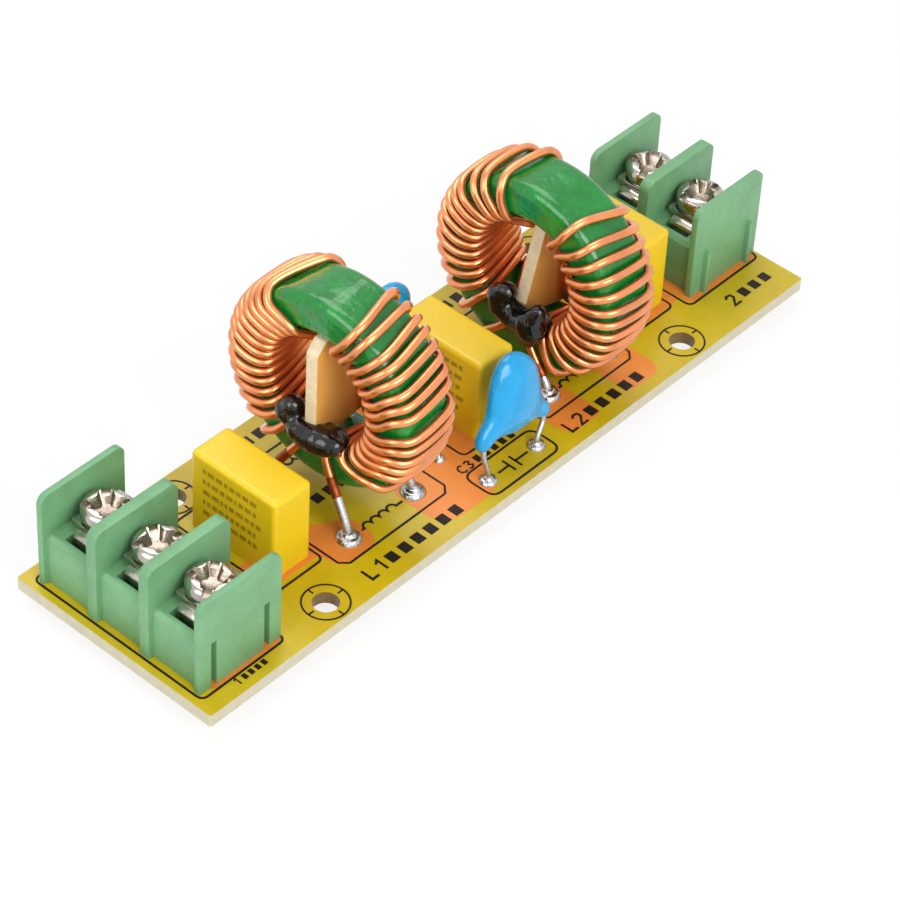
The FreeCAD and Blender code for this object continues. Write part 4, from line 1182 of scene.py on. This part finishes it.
class LF_OT_solder(bpy.types.Operator):
    """Sets the solder joints on both sides of the board"""
    bl_idname = "linefilter.solder"
    bl_label = "Solder joints"

    def execute(self, context):
        settings = context.scene.lf_solder
        metal = solder_finish(settings)
        for group in ("terminal_pins", "film_capacitors", "chokes", "small_parts"):
            dress_node("solder_" + group, metal)
        bm = bmesh.new()
        for choke, side, reach in product(CHOKES, (-1, 1), (-1, 1)):
            self.dome(bm, pad_spot(choke, side, reach), settings.choke_joint / MM, *CHOKE_DOME)
        for side in (-1, 1):
            for x, y in DISC_PADS:
                self.dome(bm, (x, side * -y), settings.small_joint / MM, *SMALL_DOME)
            spot = RESISTOR_X, RESISTOR_Y + side * RESISTOR_PITCH / 2
            self.dome(bm, spot, RESISTOR_JOINT, *RESISTOR_DOME)
        domes = mesh_from(bm, "solder_domes")
        domes.shade_smooth()
        add_piece("solder_domes", domes, metal)
        return {"FINISHED"}

    def dome(self, bm, spot, radius, wire, height):
        """A wetted joint: steep at the wire, flat at its rim."""
        profile = [(0.0, TOP - DOME_SINK), (radius, TOP - DOME_SINK), (radius, TOP)]
        for t in (i / 10 for i in range(1, 11)):
            rise = 0.52 * math.sin(min(1.0, t / 0.4) * math.pi / 2) + 0.12 * t + 0.36 * t ** 4
            profile.append((radius + (wire + 0.04 - radius) * t, TOP + height * rise))
        turned(bm, profile + [(0.0, TOP + height)], spot, 36)


class LF_OT_stage(bpy.types.Operator):
    """Sets the floor, the soft lights and the camera"""
    bl_idname = "linefilter.stage"
    bl_label = "Floor, light and camera"

    def execute(self, context):
        settings = context.scene.lf_stage
        self.floor(settings)
        self.room(context.scene, settings)
        for name, place, size in LIGHTS:
            power = settings.key_power if name == "key_light" else settings.fill_power
            self.light(name, place, size, power)
        self.camera(context.scene, settings)
        context.scene.view_settings.view_transform = "Standard"
        return {"FINISHED"}

    def floor(self, settings):
        bm = bmesh.new()
        bmesh.ops.create_grid(bm, x_segments=1, y_segments=1, size=FLOOR_REACH,
                              matrix=Matrix.Translation((0, 0, FLOOR_LEVEL)))
        floor = linked("floor", mesh_from(bm, "floor"))
        finish = Finish("floor_paint")
        finish.set(Base_Color=settings.floor_colour, Roughness=0.9, Specular_IOR_Level=0.0)
        self.show_white(finish)
        dress(floor.data, finish.material)

    def seen(self, tree):
        """One for rays that see the background: straight, mirrored or through glass."""
        path = add_node(tree, "LightPath").outputs
        shown = calculated(tree, "MAXIMUM", path["Is Camera Ray"], path["Is Glossy Ray"])
        return calculated(tree, "MAXIMUM", shown, path["Is Transmission Ray"])

    def swap(self, tree, share, lit, shown, output):
        """The shown shader takes the lit one's place by a share."""
        mix = add_node(tree, "MixShader", {0: share, 1: lit, 2: shown})
        tree.links.new(mix.outputs[0], tree.nodes[output].inputs["Surface"])

    def show_white(self, finish):
        """The floor shows white and keeps a share of the shadow."""
        tree = finish.tree
        share = calculated(tree, "MULTIPLY", self.seen(tree), FLOOR_GLOW)
        glow = add_node(tree, "Emission", {"Color": WHITE})
        self.swap(tree, share, finish.shader.outputs[0], glow.outputs[0], "Material Output")

    def room(self, scene, settings):
        """An even light that shows white where it is seen."""
        scene.world = bpy.data.worlds.new("room")
        scene.world.use_nodes = True
        tree = scene.world.node_tree
        lit = tree.nodes["Background"]
        feed(tree, lit.inputs["Color"], WHITE)
        feed(tree, lit.inputs["Strength"], settings.room_light)
        shown = add_node(tree, "Background", {"Color": WHITE, "Strength": 1.0})
        self.swap(tree, self.seen(tree), lit.outputs[0], shown.outputs[0], "World Output")

    def light(self, name, place, size, power):
        lamp = bpy.data.lights.new(name, "AREA")
        lamp.shape = "SQUARE"
        lamp.size = size
        lamp.energy = power
        holder = linked(name, lamp)
        holder.location = place
        way = Vector(LIGHT_AIM) - Vector(place)
        holder.rotation_euler = way.to_track_quat("-Z", "Y").to_euler()

    def camera(self, scene, settings):
        lens = bpy.data.cameras.new("camera")
        lens.lens = settings.lens
        lens.sensor_width = 36.0
        lens.clip_start = 0.01
        scene.camera = linked("camera", lens)
        right, down, ahead = (Vector(way) for way in CAMERA_WAYS)
        turn = Matrix((right, -down, -ahead)).transposed().to_4x4()
        scene.camera.matrix_world = Matrix.Translation(CAMERA_PLACE) @ turn


class LF_PT_panel(bpy.types.Panel):
    """Lists the steps that dress the line filter"""
    bl_idname = "LF_PT_panel"
    bl_label = "Line filter"
    bl_space_type = "VIEW_3D"
    bl_region_type = "UI"
    bl_category = "Line filter"

    def draw(self, context):
        for step in STEPS:
            self.layout.operator(step.bl_idname)
        for label in SETTINGS:
            box = self.layout.box()
            group = getattr(context.scene, label)
            for prop in group.bl_rna.properties:
                if prop.identifier not in ("rna_type", "name"):
                    box.prop(group, prop.identifier)


STEPS = [LF_OT_board, LF_OT_print, LF_OT_terminals, LF_OT_film_capacitors, LF_OT_chokes, LF_OT_glue,
         LF_OT_disc_capacitors, LF_OT_resistor, LF_OT_solder, LF_OT_stage]
SETTINGS = {"lf_board": LF_PG_board, "lf_terminals": LF_PG_terminals, "lf_capacitors": LF_PG_capacitors,
            "lf_chokes": LF_PG_chokes, "lf_solder": LF_PG_solder, "lf_stage": LF_PG_stage}


def register():
    for group in SETTINGS.values():
        bpy.utils.register_class(group)
    for label, group in SETTINGS.items():
        setattr(bpy.types.Scene, label, PointerProperty(type=group))
    for step in STEPS + [LF_PT_panel]:
        bpy.utils.register_class(step)


def unregister():
    for step in [LF_PT_panel] + STEPS[::-1]:
        bpy.utils.unregister_class(step)
    for label in SETTINGS:
        delattr(bpy.types.Scene, label)
    for group in SETTINGS.values():
        bpy.utils.unregister_class(group)


def main():
    register()
    bpy.ops.linefilter.board()
    bpy.ops.linefilter.print()
    bpy.ops.linefilter.terminals()
    bpy.ops.linefilter.film_capacitors()
    bpy.ops.linefilter.chokes()
    bpy.ops.linefilter.glue()
    bpy.ops.linefilter.disc_capacitors()
    bpy.ops.linefilter.resistor()
    bpy.ops.linefilter.solder()
    bpy.ops.linefilter.stage()


if __name__ == "__main__":
    main()
